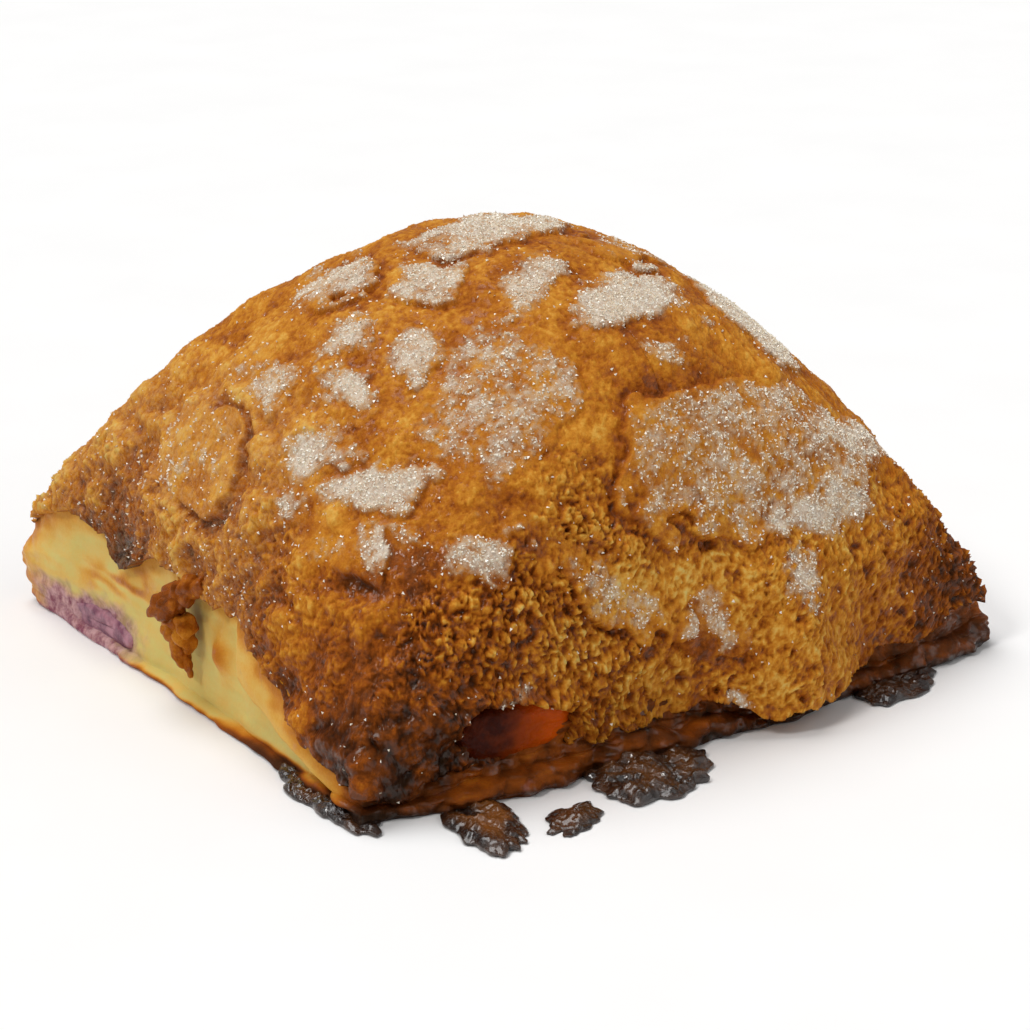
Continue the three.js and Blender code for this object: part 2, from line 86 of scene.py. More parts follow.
# Sugar plates: place as shares of the way from the crown to the edge, half sizes, turn in degrees, how
# white the sugar is, and how far the side towards lift_turn stands off the crust as a loose sheet. The last
# ten lie on the back and the right end
PLATE_FIELDS = ("p", "q", "long", "wide", "turn", "white", "lift", "lift_turn")
PLATES = [
    (-0.03, -0.01, 10.5, 5.3, -5, 0.85, 0.5, -90),
    (0.165, -0.1, 6.9, 5.2, 30, 0.35, 0.5, -90),
    (-0.3, 0.055, 6.0, 5.6, 60, 0.75, 0.6, -70),
    (-0.195, -0.1, 5.1, 4.3, 130, 0.85, 0.4, -90),
    (-0.1, -0.215, 5.2, 2.6, 35, 0.9, 0.1, -90),
    (0.04, -0.28, 8.1, 4.0, 20, 1.0, 0.25, -120),
    (0.31, -0.27, 8.5, 5.5, 105, 1.0, 0.3, -150),
    (-0.395, -0.1, 4.2, 3.3, 125, 0.75, 0.2, -90),
    (-0.45, -0.18, 3.3, 2.6, 100, 0.9, 0.2, -90),
    (-0.545, -0.03, 5.6, 3.9, 80, 0.6, 0.3, -60),
    (-0.735, 0.045, 9.8, 8.0, 90, 0.22, 0.9, -80),
    (-0.315, -0.215, 3.6, 3.6, 15, 0.85, 0.2, -90),
    (-0.26, -0.37, 9.8, 9.2, 35, 0.5, 0.15, -60),
    (-0.565, -0.21, 6.1, 2.7, 150, 0.9, 0.3, -90),
    (-0.52, -0.335, 8.8, 2.6, 135, 0.95, 0.3, -90),
    (-0.7, -0.215, 3.5, 1.9, 155, 0.5, 0.2, -90),
    (-0.545, -0.44, 6.0, 3.3, 140, 0.85, 0.3, -90),
    (-0.625, -0.37, 9.4, 3.4, 125, 0.3, 0.7, -110),
    (-0.4, -0.58, 6.9, 2.9, 135, 0.75, 0.4, -90),
    (-0.2, -0.74, 12.1, 2.8, 135, 0.45, 0.8, -120),
    (0.05, -0.4, 3.4, 2.3, 5, 0.6, 0.2, -90),
    (0.16, -0.58, 19.9, 9.8, 5, 0.48, 0.7, 180),
    (0.26, -0.675, 10.3, 3.1, 0, 0.85, 0.0, 0),
    (0.395, -0.51, 10.2, 3.3, 15, 0.9, 0.0, 0),
    (-0.005, -0.865, 3.8, 3.7, 60, 0.6, 0.6, -100),
    (0.52, 0.0, 6.0, 3.8, 80, 0.85, 0.3, 0),
    (0.37, 0.23, 7.5, 4.6, 35, 0.9, 0.3, 45),
    (0.08, 0.37, 8.0, 4.4, 10, 0.75, 0.3, 90),
    (0.62, 0.27, 5.2, 3.2, 110, 0.6, 0.3, 20),
    (-0.14, 0.51, 5.5, 3.6, 150, 0.9, 0.2, 90),
    (0.3, 0.51, 12.0, 5.5, 160, 0.48, 0.6, 90),
    (-0.38, 0.62, 6.5, 3.0, 40, 0.8, 0.3, 110),
    (0.05, 0.67, 9.0, 3.0, 175, 0.85, 0.3, 90),
    (-0.22, 0.75, 5.0, 2.6, 20, 0.5, 0.4, 90),
    (0.45, 0.72, 5.0, 2.8, 130, 0.7, 0.3, 60),
]

# Loose sugar on the bare crust: place, half sizes and how thick it lies
FROST_FIELDS = ("p", "q", "long", "wide", "cover")
FROST = [
    (0.175, -0.775, 5.0, 5.0, 0.75),
    (0.15, -0.33, 6.0, 3.5, 0.4),
    (0.03, -0.985, 1.6, 1.4, 1.0),
    (-0.5, -0.1, 12.0, 9.0, 0.32),
    (-0.75, 0.1, 16.0, 16.0, 0.34),
    (-0.05, -0.68, 8.0, 5.0, 0.45),
    (-0.39, -0.87, 4.5, 2.0, 0.6),
]
SUGAR_THICKNESS = 0.14
SUGAR_LUMP = {"size": 0.55, "height": 0.12}

# Crystals of sugar in metres, and how many lie on a square metre of whole sugar
CRYSTAL = {"smallest": 0.00014, "largest": 0.00042, "flattest": 0.0004, "sink": 0.00002, "count": 13.0e6}

# Crumb of the crust: sizes of its lumps, of the bits on them and of its crags, pores and broad swells
CRUMB = {"lump": 1.3, "bit": 0.75, "crag": 1.25, "blob": 2.6, "swell": 4.5, "pore": 2.3, "small_pore": 1.2}

# Where the crumb turns airy along the front, from left to right, and where it ends
AIRY = {"from": -16.0, "full": -2.0, "end": 30.0, "gone": 40.0}

# Loose sheets of crust: how far they lie over the crust round them, and how deep the hollow beside them is
SHEET = {"rise": 0.06, "hollow": 0.25}

# Left wall: the fold's line as distance towards the front and height, with how far it stands out and how
# deep the crease beside it is, a blister and a streak of glaze
FOLD = {"along": [10.6, 11.9, 22.9, 34.2], "rise": [13.5, 7.2, 3.7, 1.2], "out": 1.3, "crease": 0.8}
BLISTER = {"y": -7.3, "z": 8.3, "half_width": 1.7, "half_height": 2.3, "out": 1.4}
GLAZE = {"y": 17.0, "z": 8.8, "half_width": 9.0, "half_height": 1.6, "slope": 0.12}

# Browning of the dough's underside and of its rim, and where the rim is burnt
BASE_TONE = 0.74
RIM_TONE = 0.66
BURNT_RIM = {"x": -43.0, "y": -38.0, "reach": 16.0}

# Browning of the crust, from 0 for raw dough to 1 for burnt: the general tone, and where it is darker or paler
CRUST_TONE = 0.405
TONE_FIELDS = ("x", "y", "z", "reach", "tone")
TONES = [
    (-43.0, -39.0, 3.0, 13.0, 0.5),
    (-38.0, -40.0, 7.0, 9.0, 0.1),
    (-43.0, -34.0, 12.0, 8.0, 0.08),
    (-31.0, -43.0, 4.0, 7.0, 0.24),
    (-26.0, -41.0, 14.0, 13.0, 0.05),
    (-5.0, -44.0, 3.0, 10.0, 0.1),
    (-12.0, -42.0, 17.0, 11.0, -0.13),
    (-42.0, 4.0, 28.0, 20.0, -0.07),
    (-44.0, -16.0, 13.0, 9.0, 0.12),
    (-44.5, 14.0, 12.0, 8.0, 0.42),
    (44.0, -28.0, 10.0, 15.0, 0.12),
    (48.0, -12.0, 14.0, 13.0, 0.2),
    (42.0, -38.0, 4.0, 14.0, 0.26),
    (26.0, -42.0, 5.0, 9.0, 0.16),
    (0.0, 44.0, 8.0, 30.0, 0.1),
]

# Colour at each step of browning
BAKE_STOPS = [
    (0.0, (0.66, 0.54, 0.17)),
    (0.1, (0.72, 0.47, 0.12)),
    (0.2, (0.7, 0.36, 0.06)),
    (0.3, (0.6, 0.24, 0.024)),
    (0.42, (0.45, 0.14, 0.01)),
    (0.55, (0.29, 0.068, 0.006)),
    (0.7, (0.135, 0.031, 0.004)),
    (0.85, (0.06, 0.014, 0.003)),
    (1.0, (0.022, 0.007, 0.003)),
]

# Middle of the glossy burnt lumps at the front left corner, and how far they and their grains reach
BURNT_CORNER = (-42.0, -38.0, 5.0)
BURNT_REACH = {"lumps": 12.0, "grains": 10.0}

# Window in the front wall, the amber jam behind it, the berry filling at the left wall's foot, and the
# lowest that a filling's lumps reach
WINDOW = {
    "x": -25.0,
    "y": -34.0,
    "z": 7.0,
    "half_width": 7.2,
    "half_height": 3.3,
    "depth": 4.5,
    "tilt": -0.16,
    "lip": 1.2,
}
FILLING_FIELDS = ("x", "y", "z", "half_width", "half_height", "length", "turn", "round")
AMBER = dict(zip(FILLING_FIELDS, (-25.0, -41.0, 6.9, 7.6, 3.6, 12.0, 90, 2.6)))
BERRY = dict(zip(FILLING_FIELDS, (-43.0, 26.0, 2.1, 11.5, 1.8, 77.0, 0, 1.0)))
FILLING_LOWEST = 0.1

# Burnt jam on the ground: centre, half sizes, turn in degrees, thickness, wave of the ragged outline and
# how much of it is thin enough to show as caramel
JAM_FIELDS = ("x", "y", "long", "wide", "turn", "thick", "wave", "caramel")
BURNT_JAM = {
    "burnt_jam_corner": (-43.4, -30.8, 8.4, 3.2, 90, 2.1, 3, 0.2),
    "burnt_jam_tongue": (-32.2, -44.8, 8.2, 3.5, 76, 2.2, 5, 0.7),
    "burnt_jam_front": (-11.2, -46.0, 7.6, 5.8, -14, 2.5, 8, 0.25),
    "burnt_jam_right": (27.2, -41.4, 7.4, 3.9, 18, 2.2, 11, 0.2),
    "burnt_jam_flake": (-24.6, -50.4, 4.7, 2.5, 28, 1.5, 17, 0.15),
}
JAM_RAGGED = 0.34

# Crumbs that hang from the crust's edge over the left wall: both ends, thickness, browning and sugar
LIP_CRUMB_FIELDS = ("start", "end", "thick", "bake", "sugar")
LIP_CRUMBS = [
    ((-46.0, 1.4, 11.4), (-43.0, -4.4, 16.0), 1.5, 0.56, 0.08),
    ((-44.2, 1.0, 11.6), (-43.8, -0.4, 8.0), 1.5, 0.48, 0.0),
    ((-44.0, -1.6, 11.0), (-43.7, -1.4, 7.4), 1.2, 0.42, 0.0),
    ((-44.2, 0.2, 8.4), (-43.9, -1.6, 5.4), 0.9, 0.5, 0.0),
    ((-44.0, -1.6, 6.8), (-43.8, -2.4, 4.2), 0.5, 0.5, 0.0),
]

# Camera, found from the base corners in the photograph
PHOTO_WIDTH = 1030
PIXELS_PER_MM = 8.26
CAMERA_DISTANCE = 350.0
CAMERA_AZIMUTH = -34.5
CAMERA_ELEVATION = 20.0
CAMERA_AIM = (2.0, -0.6, 13.6)
SENSOR = 36.0

# Lights: the direction each comes from, its softness in degrees, its power and its colour
LIGHTS = {
    "top": ((-0.1, 0.35, 1.0), 40.0, 1.9, (1.0, 1.0, 1.0)),
    "fill": ((0.5, -0.7, 0.6), 60.0, 0.5, (1.0, 1.0, 1.0)),
    "key": ((-0.75, -0.1, 0.8), 12.0, 0.9, (1.0, 0.98, 0.95)),
}
ROOM_BRIGHTNESS = 0.25
FLOOR_HALF = 4000.0


def ramp(low, high, t):
    return np.clip((t - low) / (high - low), 0.0, 1.0)


def smooth(low, high, t):
    s = ramp(low, high, t)
    return s * s * (3 - 2 * s)


def bell(t, centre, width):
    return np.exp(-(((t - centre) / width) ** 2))


def cell_value(i, j, k):
    wave = np.sin(i * 127.1 + j * 311.7 + k * 74.7) * 43758.5453
    return 2 * (wave - np.floor(wave)) - 1


def value_noise(x, y, z):
    """Repeatable noise from -1 to 1: each whole-number cell has its own value, blended between cells."""
    x, y, z = np.broadcast_arrays(x, y, z)
    cell = [np.floor(t) for t in (x, y, z)]
    part = [t - c for t, c in zip((x, y, z), cell)]
    blend = [t * t * (3 - 2 * t) for t in part]
    total = np.zeros(x.shape)
    for corner in range(8):
        step = (corner & 1, (corner >> 1) & 1, corner >> 2)
        weight = np.ones(x.shape)
        for on, share in zip(step, blend):
            weight = weight * (share if on else 1 - share)
        total += weight * cell_value(cell[0] + step[0], cell[1] + step[1], cell[2] + step[2])
    return total


def perlin(points, size):
    """Smooth noise from -1 to 1 at each point, with lumps of the given size."""
    return np.array([field.noise(point) for point in (points / size).tolist()])


def billows(points, size):
    """Puffed lumps of the given size: 0 in the creases between them and up to 1 on their tops."""
    return np.minimum(1.0, 2.2 * np.abs(perlin(points, size)))


def cells(points, size, seed):
    """Loose cells of the given size: the dome over each, the way to its crack and its chance value."""
    place = points / size + seed
    home = np.floor(place)
    nearest = np.full(len(place), 9.0)
    second = np.full(len(place), 9.0)
    chance = np.zeros(len(place))
    for step in np.ndindex(3, 3, 3):
        i, j, k = (home + np.array(step) - 1).T
        middle = [0.5 + 0.42 * cell_value(i + shift, j, k) for shift in (0.0, 57.0, 113.0)]
        away = np.linalg.norm(place - np.stack([i, j, k], -1) - np.stack(middle, -1), axis=1)
        closer = away < nearest
        second = np.where(closer, nearest, np.minimum(second, away))
        chance = np.where(closer, cell_value(i, j + 31.0, k), chance)
        nearest = np.minimum(nearest, away)
    dome = np.sqrt(np.clip(1 - (nearest / 0.85) ** 2, 0.0, 1.0))
    return dome, second - nearest, chance


def pebbles(points, size):
    """Rounded lumps of the given size: 1 on a lump's top, falling to 0 in the cracks between lumps."""
    return cells(points, size, 0.0)[0]


def craggy(points, size):
    """Rough crags from -1 to 1: sharp ridges of the given size that carry ever smaller ones."""
    total, share = np.zeros(len(points)), 1.0
    for halving in range(3):
        ridge = 1 - 3.2 * np.abs(perlin(points + 17.0 * halving, size))
        total = total + share * ridge
        share, size = 0.6 * share, 0.5 * size
    return np.clip(0.6 * total, -1.0, 1.0)


def warped(points, size, amount):
    """The points pushed about by noise, so that lumps placed by them curl and stretch."""
    shifts = np.array([field.noise_vector(point) for point in (points / size).tolist()])
    return points + amount * shifts


def records(fields, rows):
    return [dict(zip(fields, row)) for row in rows]


def by_side(values, a, b):
    """A value given for the four sides, blended smoothly round the corners in the direction (a, b)."""
    power = 6
    ways = {"left": -a, "right": a, "front": -b, "back": b}
    weights = {side: np.maximum(0, way) ** power for side, way in ways.items()}
    total = sum(weights.values())
    return sum(weights[side] * values[side] for side in weights) / total


def to_border(a, b):
    reach = np.maximum(np.maximum(np.abs(a), np.abs(b)), 1e-6)
    return a / reach, b / reach


def foot_height(a, b):
    """Height of the crust's lower edge: high over the pale wall at the left, low along the front."""
    a, b = to_border(a, b)
    ragged = FOOT_RAGGED * value_noise(a * 9, b * 9, 2.0)
    back = FOOT["back"] + (FOOT["left_corner"] - FOOT["back"]) * ramp(-0.4, -1, a) ** 2
    to_left = (FOOT["front_corner"] - FOOT["front"]) * ramp(-0.7, -1, a)
    to_right = (FOOT["right"] - FOOT["front"]) * ramp(0.7, 1, a)
    front = FOOT["front"] + to_left + to_right - DROOP["drop"] * bell(a, DROOP["at"], DROOP["width"])
    flap = FLAP["drop"] * bell(b, FLAP["at"], FLAP["width"])
    left = np.interp(b, LEFT_FOOT["at"], LEFT_FOOT["rise"]) - flap
    across = np.where(a > 0, FOOT["right"], left)
    along = np.where(b > 0, back, front)
    return np.where(np.abs(a) < np.abs(b), along, across) + ragged


def half_arc(half, fall):
    """Plan shares along one half of the section, and the share of its arc from the crown at each."""
    shares = 1 - (1 - np.linspace(0, 1, 401)) ** 4
    heights = HEIGHT * (1 - shares ** ROUNDNESS) ** fall
    lengths = np.concatenate([[0], np.cumsum(np.hypot(half * np.diff(shares), np.diff(heights)))])
    return {"shares": shares, "along": lengths / lengths[-1], "arc": lengths[-1]}


ARC = {
    "left": half_arc(LENGTH / 2, FALL["left"]),
    "right": half_arc(LENGTH / 2, FALL["right"]),
    "front": half_arc(DEPTH / 2, FALL["front"]),
    "back": half_arc(DEPTH / 2, FALL["back"]),
}


def arc_share(t, before, after):
    """Signed share of the arc from the crown, at a signed share of the plan."""
    low = np.interp(-t, before["shares"], before["along"])
    high = np.interp(t, after["shares"], after["along"])
    return np.where(t < 0, -low, high)


def layout_place(a, b):
    """Place on the crust as shares of the arcs from the crown, the measure that the plates use."""
    return arc_share(a, ARC["left"], ARC["right"]), arc_share(b, ARC["front"], ARC["back"])


def layout_offset(spot, p, q):
    """Way from a spot's middle to the right and to the back, in millimetres along the crust."""
    return (p - spot["p"]) * ARC["left"]["arc"], (q - spot["q"]) * ARC["front"]["arc"]


def plan_point(a, b):
    """Plan of the pillow: sides that bow a little and corners pulled in."""
    bow_x = np.where(a < 0, BOW["left"], BOW["right"])
    bow_y = np.where(b < 0, BOW["front"], BOW["back"])
    pull = 1 - CORNER_PULL * (a * b) ** 4
    x = a * (LENGTH / 2 + bow_x * (1 - b * b)) * pull
    y = b * (DEPTH / 2 + bow_y * (1 - a * a)) * pull
    return x, y


def crust_point(a, b):
    """Smooth crust surface, without its relief, with the swollen foot that droops out at the front."""
    x, y = plan_point(a, b)
    fall_x = np.where(a < 0, FALL["left"], FALL["right"])
    fall_y = np.where(b < 0, FALL["front"], FALL["back"])
    dome_x = np.maximum(0, 1 - np.abs(a) ** ROUNDNESS) ** fall_x
    dome_y = np.maximum(0, 1 - np.abs(b) ** ROUNDNESS) ** fall_y
    foot = foot_height(a, b)
    _, q = layout_place(a, b)
    droop = DROOP["out"] * bell(a, DROOP["at"], DROOP["width"]) * np.sqrt(smooth(DROOP["start"], -1, q))
    return np.stack([x, y - droop, foot + (HEIGHT - foot) * dome_x * dome_y], -1)


def crust_normal(a, b):
    step = 0.002
    along_a = crust_point(np.clip(a + step, -1, 1), b) - crust_point(np.clip(a - step, -1, 1), b)
    along_b = crust_point(a, np.clip(b + step, -1, 1)) - crust_point(a, np.clip(b - step, -1, 1))
    normal = np.cross(along_a, along_b)
    return normal / np.linalg.norm(normal, axis=-1, keepdims=True)


def ray_shares(directions, rings):
    """Plan shares at even steps of arc along rays from the crown, one row for each border direction."""
    ea, eb = border_directions(directions)
    steps = 1 - (1 - np.linspace(0, 1, 81)) ** 4
    points = crust_point(ea[:, None] * steps, eb[:, None] * steps)
    lengths = np.linalg.norm(np.diff(points, axis=1), axis=2).cumsum(axis=1)
    even = np.linspace(0, 1, rings + 1)
    rows = [np.interp(even * row[-1], np.concatenate([[0], row]), steps) for row in lengths]
    return np.array(rows)


def border_point(ea, eb, out, z):
    """A border point moved out (or in, if negative) from the middle of the base, at a height."""
    x, y = plan_point(ea, eb)
    return np.stack([x * (1 + out / (LENGTH / 2)), y * (1 + out / (DEPTH / 2)), z], -1)


def rim_out(ea, eb):
    i, j = ea * SOLID_STEPS, eb * SOLID_STEPS
    ragged = value_noise(i * 0.31, j * 0.31, 9.0) + 0.6 * value_noise(i * 0.8, j * 0.8, 5.0)
    return np.maximum(-0.3, by_side(RIM_OUT, ea, eb) + by_side(RIM_RAGGED, ea, eb) * ragged)


def rim_height(ea, eb, foot):
    i, j = ea * SOLID_STEPS, eb * SOLID_STEPS
    uneven = 1 + 0.35 * value_noise(i * 0.4, j * 0.4, 7.0)
    return np.minimum(by_side(RIM_HEIGHT, ea, eb) * uneven, foot - RIM_UNDER_FOOT)


def corner_share(ea, eb):
    """How much of the back left corner's bulge the wall has in each direction."""
    return smooth(CORNER_BULGE["from_a"], -1, ea) * smooth(CORNER_BULGE["from_b"], 1, eb)


def lip_inset(ea, eb):
    """How far the wall lies in from the crust's lip, less at the back left corner."""
    inset = by_side(LIP_INSET, ea, eb)
    return inset + (CORNER_BULGE["inset"] - inset) * corner_share(ea, eb)


def border_directions(count):
    """Directions of the border, anticlockwise seen from above, starting at the front left corner."""
    t = np.arange(count) * 4.0 / count
    side = np.floor(t).astype(int)
    way = 2 * (t - side) - 1
    one = np.ones(count)
    ea = np.choose(side, [way, one, -way, -one])
    eb = np.choose(side, [-one, way, one, -way])
    return ea, eb


def make_piece(name, points, faces, finish, values=None, flat=False):
    """A mesh object from points in millimetres and triangles, with values stored on its points by name."""
    mesh = bpy.data.meshes.new(name)
    mesh.vertices.add(len(points))
    mesh.vertices.foreach_set("co", (np.asarray(points) * MM).astype(np.float32).ravel())
    mesh.loops.add(faces.size)
    mesh.loops.foreach_set("vertex_index", faces.astype(np.int32).ravel())
    mesh.polygons.add(len(faces))
    mesh.polygons.foreach_set("loop_start", np.arange(0, faces.size, 3, dtype=np.int32))
    mesh.update(calc_edges=True)
    mesh.polygons.foreach_set("use_smooth", np.full(len(faces), not flat))
    for key, value in (values or {}).items():
        attribute = mesh.attributes.new(key, "FLOAT", "POINT")
        attribute.data.foreach_set("value", np.asarray(value, dtype=np.float32))
    mesh.materials.append(finish)
    piece = bpy.data.objects.new(name, mesh)
    bpy.context.scene.collection.objects.link(piece)
    return piece


def band_faces(upper, lower):
    """Triangles between two closed rings of point numbers, the first ring above."""
    upper_next, lower_next = np.roll(upper, -1), np.roll(lower, -1)
    first = np.stack([upper, lower, lower_next], -1)
    second = np.stack([upper, lower_next, upper_next], -1)
    return np.concatenate([first, second])


def closed_skin(rings):
    """Points and triangles of a closed body over rings that run from its top to its bottom."""
    levels, count, _ = rings.shape
    numbers = np.arange(levels * count).reshape(levels, count)
    top, bottom = levels * count, levels * count + 1
    points = np.concatenate([rings.reshape(-1, 3), rings[:1].mean(axis=1), rings[-1:].mean(axis=1)])
    faces = [band_faces(numbers[level], numbers[level + 1]) for level in range(levels - 1)]
    first, last = numbers[0], numbers[-1]
    faces.append(np.stack([np.full(count, top), first, np.roll(first, -1)], -1))
    faces.append(np.stack([np.full(count, bottom), np.roll(last, -1), last], -1))
    return points, np.concatenate(faces)


def joined(parts):
    """Several bodies of points, faces and values as one."""
    points, faces, values, start = [], [], {}, 0
    for part_points, part_faces, part_values in parts:
        points.append(part_points)
        faces.append(part_faces + start)
        start += len(part_points)
        for key, value in part_values.items():
            values.setdefault(key, []).append(value)
    values = {key: np.concatenate(rows) for key, rows in values.items()}
    return np.concatenate(points), np.concatenate(faces), values


def browning(base):
    """How far the crust is baked at each point."""
    tone = CRUST_TONE + 0.06 * perlin(base, 9.0) + 0.09 * perlin(base + 5.0, 3.2) + 0.06 * perlin(base, 1.2)
    mottle = 1 + 0.5 * perlin(base + 21.0, 4.5)
    for spot in records(TONE_FIELDS, TONES):
        away = np.linalg.norm(base - np.array([spot["x"], spot["y"], spot["z"]]), axis=1)
        tone = tone + spot["tone"] * mottle * np.exp(-((away / spot["reach"]) ** 2))
    return tone


def crumb_share(p, q):
    """Where the crust breaks up into crumb: low on the front and the back, and at both ends."""
    wander = 0.07 * value_noise(p * 9, q * 9, 6.0)
    front = smooth(-0.5, -0.66, q + wander)
    right = smooth(0.42, 0.72, p + 1.8 * wander)
    left = 0.4 * smooth(-0.6, -0.8, p + wander)
    back = 0.7 * smooth(0.5, 0.75, q + wander)
    return np.maximum(np.maximum(front, right), np.maximum(left, back))


def window_reach(points):
    """Distance from the middle of the jam window in its half sizes, far away behind the front wall."""
    across = (points[:, 0] - WINDOW["x"]) / WINDOW["half_width"]
    middle = WINDOW["z"] + WINDOW["tilt"] * (points[:, 0] - WINDOW["x"])
    up = (points[:, 2] - middle) / WINDOW["half_height"]
    ragged = 0.22 * value_noise(*(points / 2.2).T) + 0.12 * value_noise(*(points / 0.9).T)
    return np.where(points[:, 1] < WINDOW["y"], np.hypot(across, up) + ragged, 9.0)


def burnt_share(base, reach):
    """How near the burnt corner each point is: 1 in its middle, falling off over the reach."""
    return np.exp(-((np.linalg.norm(base - np.array(BURNT_CORNER), axis=1) / reach) ** 2))


def window_relief(base):
    """The window sunk into the front wall, with a lip of crust over it."""
    reach = window_reach(base)
    above = smooth(0.3, 2.2, base[:, 2] - WINDOW["z"])
    lip = WINDOW["lip"] * smooth(1.8, 1.2, reach) * above * smooth(0.95, 1.1, reach)
    return lip - WINDOW["depth"] * smooth(1.06, 0.9, reach)


def crumb_detail(base, curled, crumb, airy):
    """Fine relief of the crust from 0 to about 1, and the tint of its single lumps."""
    dome, gap, chance = cells(curled, CRUMB["lump"], 0.0)
    grain, grain_gap, grain_chance = cells(curled, CRUMB["bit"], 40.0)
    lump = smooth(0.0, 0.42, gap) * (0.45 + 0.55 * dome) * (0.65 + 0.35 * chance)
    bit = (0.5 * grain + 0.5 * smooth(0.0, 0.4, grain_gap)) * (0.55 + 0.45 * grain_chance)
    rough = craggy(warped(base, 1.1, 0.3), CRUMB["crag"])
    lumpy = 0.5 * lump + 0.42 * bit + 0.24 * rough
    porous = 0.38 + 0.2 * bit + 0.26 * rough + 0.1 * lump
    broken = lumpy + (porous - lumpy) * (0.2 + 0.8 * airy)
    smoother = 0.4 + 0.2 * bit + 0.16 * rough + 0.12 * lump
    detail = smoother + (broken - smoother) * crumb
    blob = cells(warped(base, 3.0, 1.0), CRUMB["blob"], 20.0)[0]
    detail = detail + 0.8 * burnt_share(base, BURNT_REACH["lumps"]) * (0.9 * blob - detail)
    tint = 0.05 * chance * crumb + 0.03 * grain_chance + (0.09 + 0.07 * crumb) * perlin(base + 3.0, 0.5)
    return detail, tint


def crust_relief(base, p, q):
    """Relief of the bare crust: its height, and a shift of the browning that is painted shade, darker in its
    hollows, pores and cracks and lighter on its tops, with a random tint of single lumps.
    """
    x, z = base[:, 0], base[:, 2]
    crumb = crumb_share(p, q)
    airy = smooth(AIRY["from"], AIRY["full"], x) * (1 - 0.8 * smooth(AIRY["end"], AIRY["gone"], x))
    curled = warped(warped(base, 2.6, 1.0), 0.9, 0.5)
    detail, tint = crumb_detail(base, curled, crumb, airy)
    crags = CRAG_HEIGHT * (0.6 + 0.6 * ramp(30, 8, z)) * value_noise(*(base / CRAG_SIZE).T)
    swell = perlin(base + 13.0, CRUMB["swell"])
    pores = smooth(0.44, 0.6, perlin(base + 50.0, CRUMB["pore"]))
    pores = pores + 0.5 * smooth(0.45, 0.6, perlin(curled + 80.0, CRUMB["small_pore"]))
    pits = pores * airy * crumb
    crumbly = (1.7 - 0.7 * airy + 0.5 * swell) * (detail - 0.42) + (0.4 + 0.4 * airy) * swell - 0.5 * pits
    golden = 0.75 * (detail - 0.45) + 0.5 * swell
    fold = perlin(warped(base + 31.0, 5.0, 2.0), 3.4) * smooth(-0.45, -0.65, p)
    height = crags + crumb * crumbly + (1 - crumb) * golden + 0.9 * fold + window_relief(base)
    # Painted shade: the browning shift is darker in low swells, pores and the hollows between lumps and
    # lighter on lump tops and raised folds; only the tint is random.
    hollow = smooth(0.1, -0.5, swell) * (1 - crumb)
    depth = (0.5 + 0.3 * crumb * (1 - 0.5 * airy)) * (0.44 - detail)
    return height, depth + 0.1 * hollow + 0.2 * pits - 0.2 * fold + tint


def plate_reach(plate, p, q):
    """Millimetres past a plate's edge, negative on it, and the share of the way to its raised side."""
    dx, dy = layout_offset(plate, p, q)
    turn, lift_way = math.radians(plate["turn"]), math.radians(plate["lift_turn"])
    along = np.abs(dx * math.cos(turn) + dy * math.sin(turn)) / plate["long"]
    across = np.abs(dy * math.cos(turn) - dx * math.sin(turn)) / plate["wide"]
    towards = (dx * math.cos(lift_way) + dy * math.sin(lift_way)) / (0.5 * (plate["long"] + plate["wide"]))
    return ((along ** 3 + across ** 3) ** (1 / 3) - 1) * plate["wide"], towards


def ragged_edge(base):
    """How far a plate's edge wanders in broad bays, and in the small notches on top, in millimetres."""
    broad = 2.2 * perlin(base, 4.0) + 1.2 * perlin(base, 1.8)
    return broad, 0.8 * perlin(base, 0.8)


def sugar_cover(base, p, q):
    """How thick sugar lies: whole on the white plates, broken into clumps on the browner ones."""
    dome, _, chance = cells(warped(base, 1.5, 0.5), 1.0, 60.0)
    clump = dome * (0.55 + 0.45 * chance) - 0.4
    specks = 0.45 * perlin(base + 9.0, 3.0) + 0.35 * perlin(base, 1.3) + 0.4 * (clump + perlin(base, 0.5))
    broad, notches = ragged_edge(base)
    cover = np.zeros(len(p))
    for plate in records(PLATE_FIELDS, PLATES):
        past = plate_reach(plate, p, q)[0] + broad + notches - 0.6
        thick = specks + 1.6 * plate["white"] - 0.62 - 1.2 * smooth(-3.0, 1.8, past)
        cover = np.maximum(cover, smooth(-0.7, 1.1, thick) * smooth(2.4, -2.4, past))
    for spot in records(FROST_FIELDS, FROST):
        dx, dy = layout_offset(spot, p, q)
        reach = np.hypot(dx / spot["long"], dy / spot["wide"]) + 0.15 * (broad + notches)
        thick = specks + 1.4 * spot["cover"] - 0.6 - smooth(0.3, 1.2, reach)
        cover = np.maximum(cover, 0.9 * smooth(-0.4, 0.8, thick) * smooth(1.5, 0.9, reach))
    return cover


def sheet_relief(base, p, q):
    """Loose sheets of crust: how far they stand off it, and the hollow beside their raised sides, which also
    carries a painted shadow.
    """
    broad, notches = ragged_edge(base)
    edge = broad + 0.3 * notches
    rise = np.zeros(len(p))
    hollow = np.zeros(len(p))
    for plate in records(PLATE_FIELDS, PLATES):
        past, towards = plate_reach(plate, p, q)
        past = past + edge
        side = smooth(-0.4, 0.6, towards)
        on = smooth(0.25, -0.25, past)
        rise = np.maximum(rise, on * (SHEET["rise"] + 0.5 * plate["lift"] * side * smooth(-4.0, 0.0, past)))
        hollow = np.maximum(hollow, (1 - on) * 2 * plate["lift"] * side * smooth(2.8, 0.0, past))
    return rise, hollow


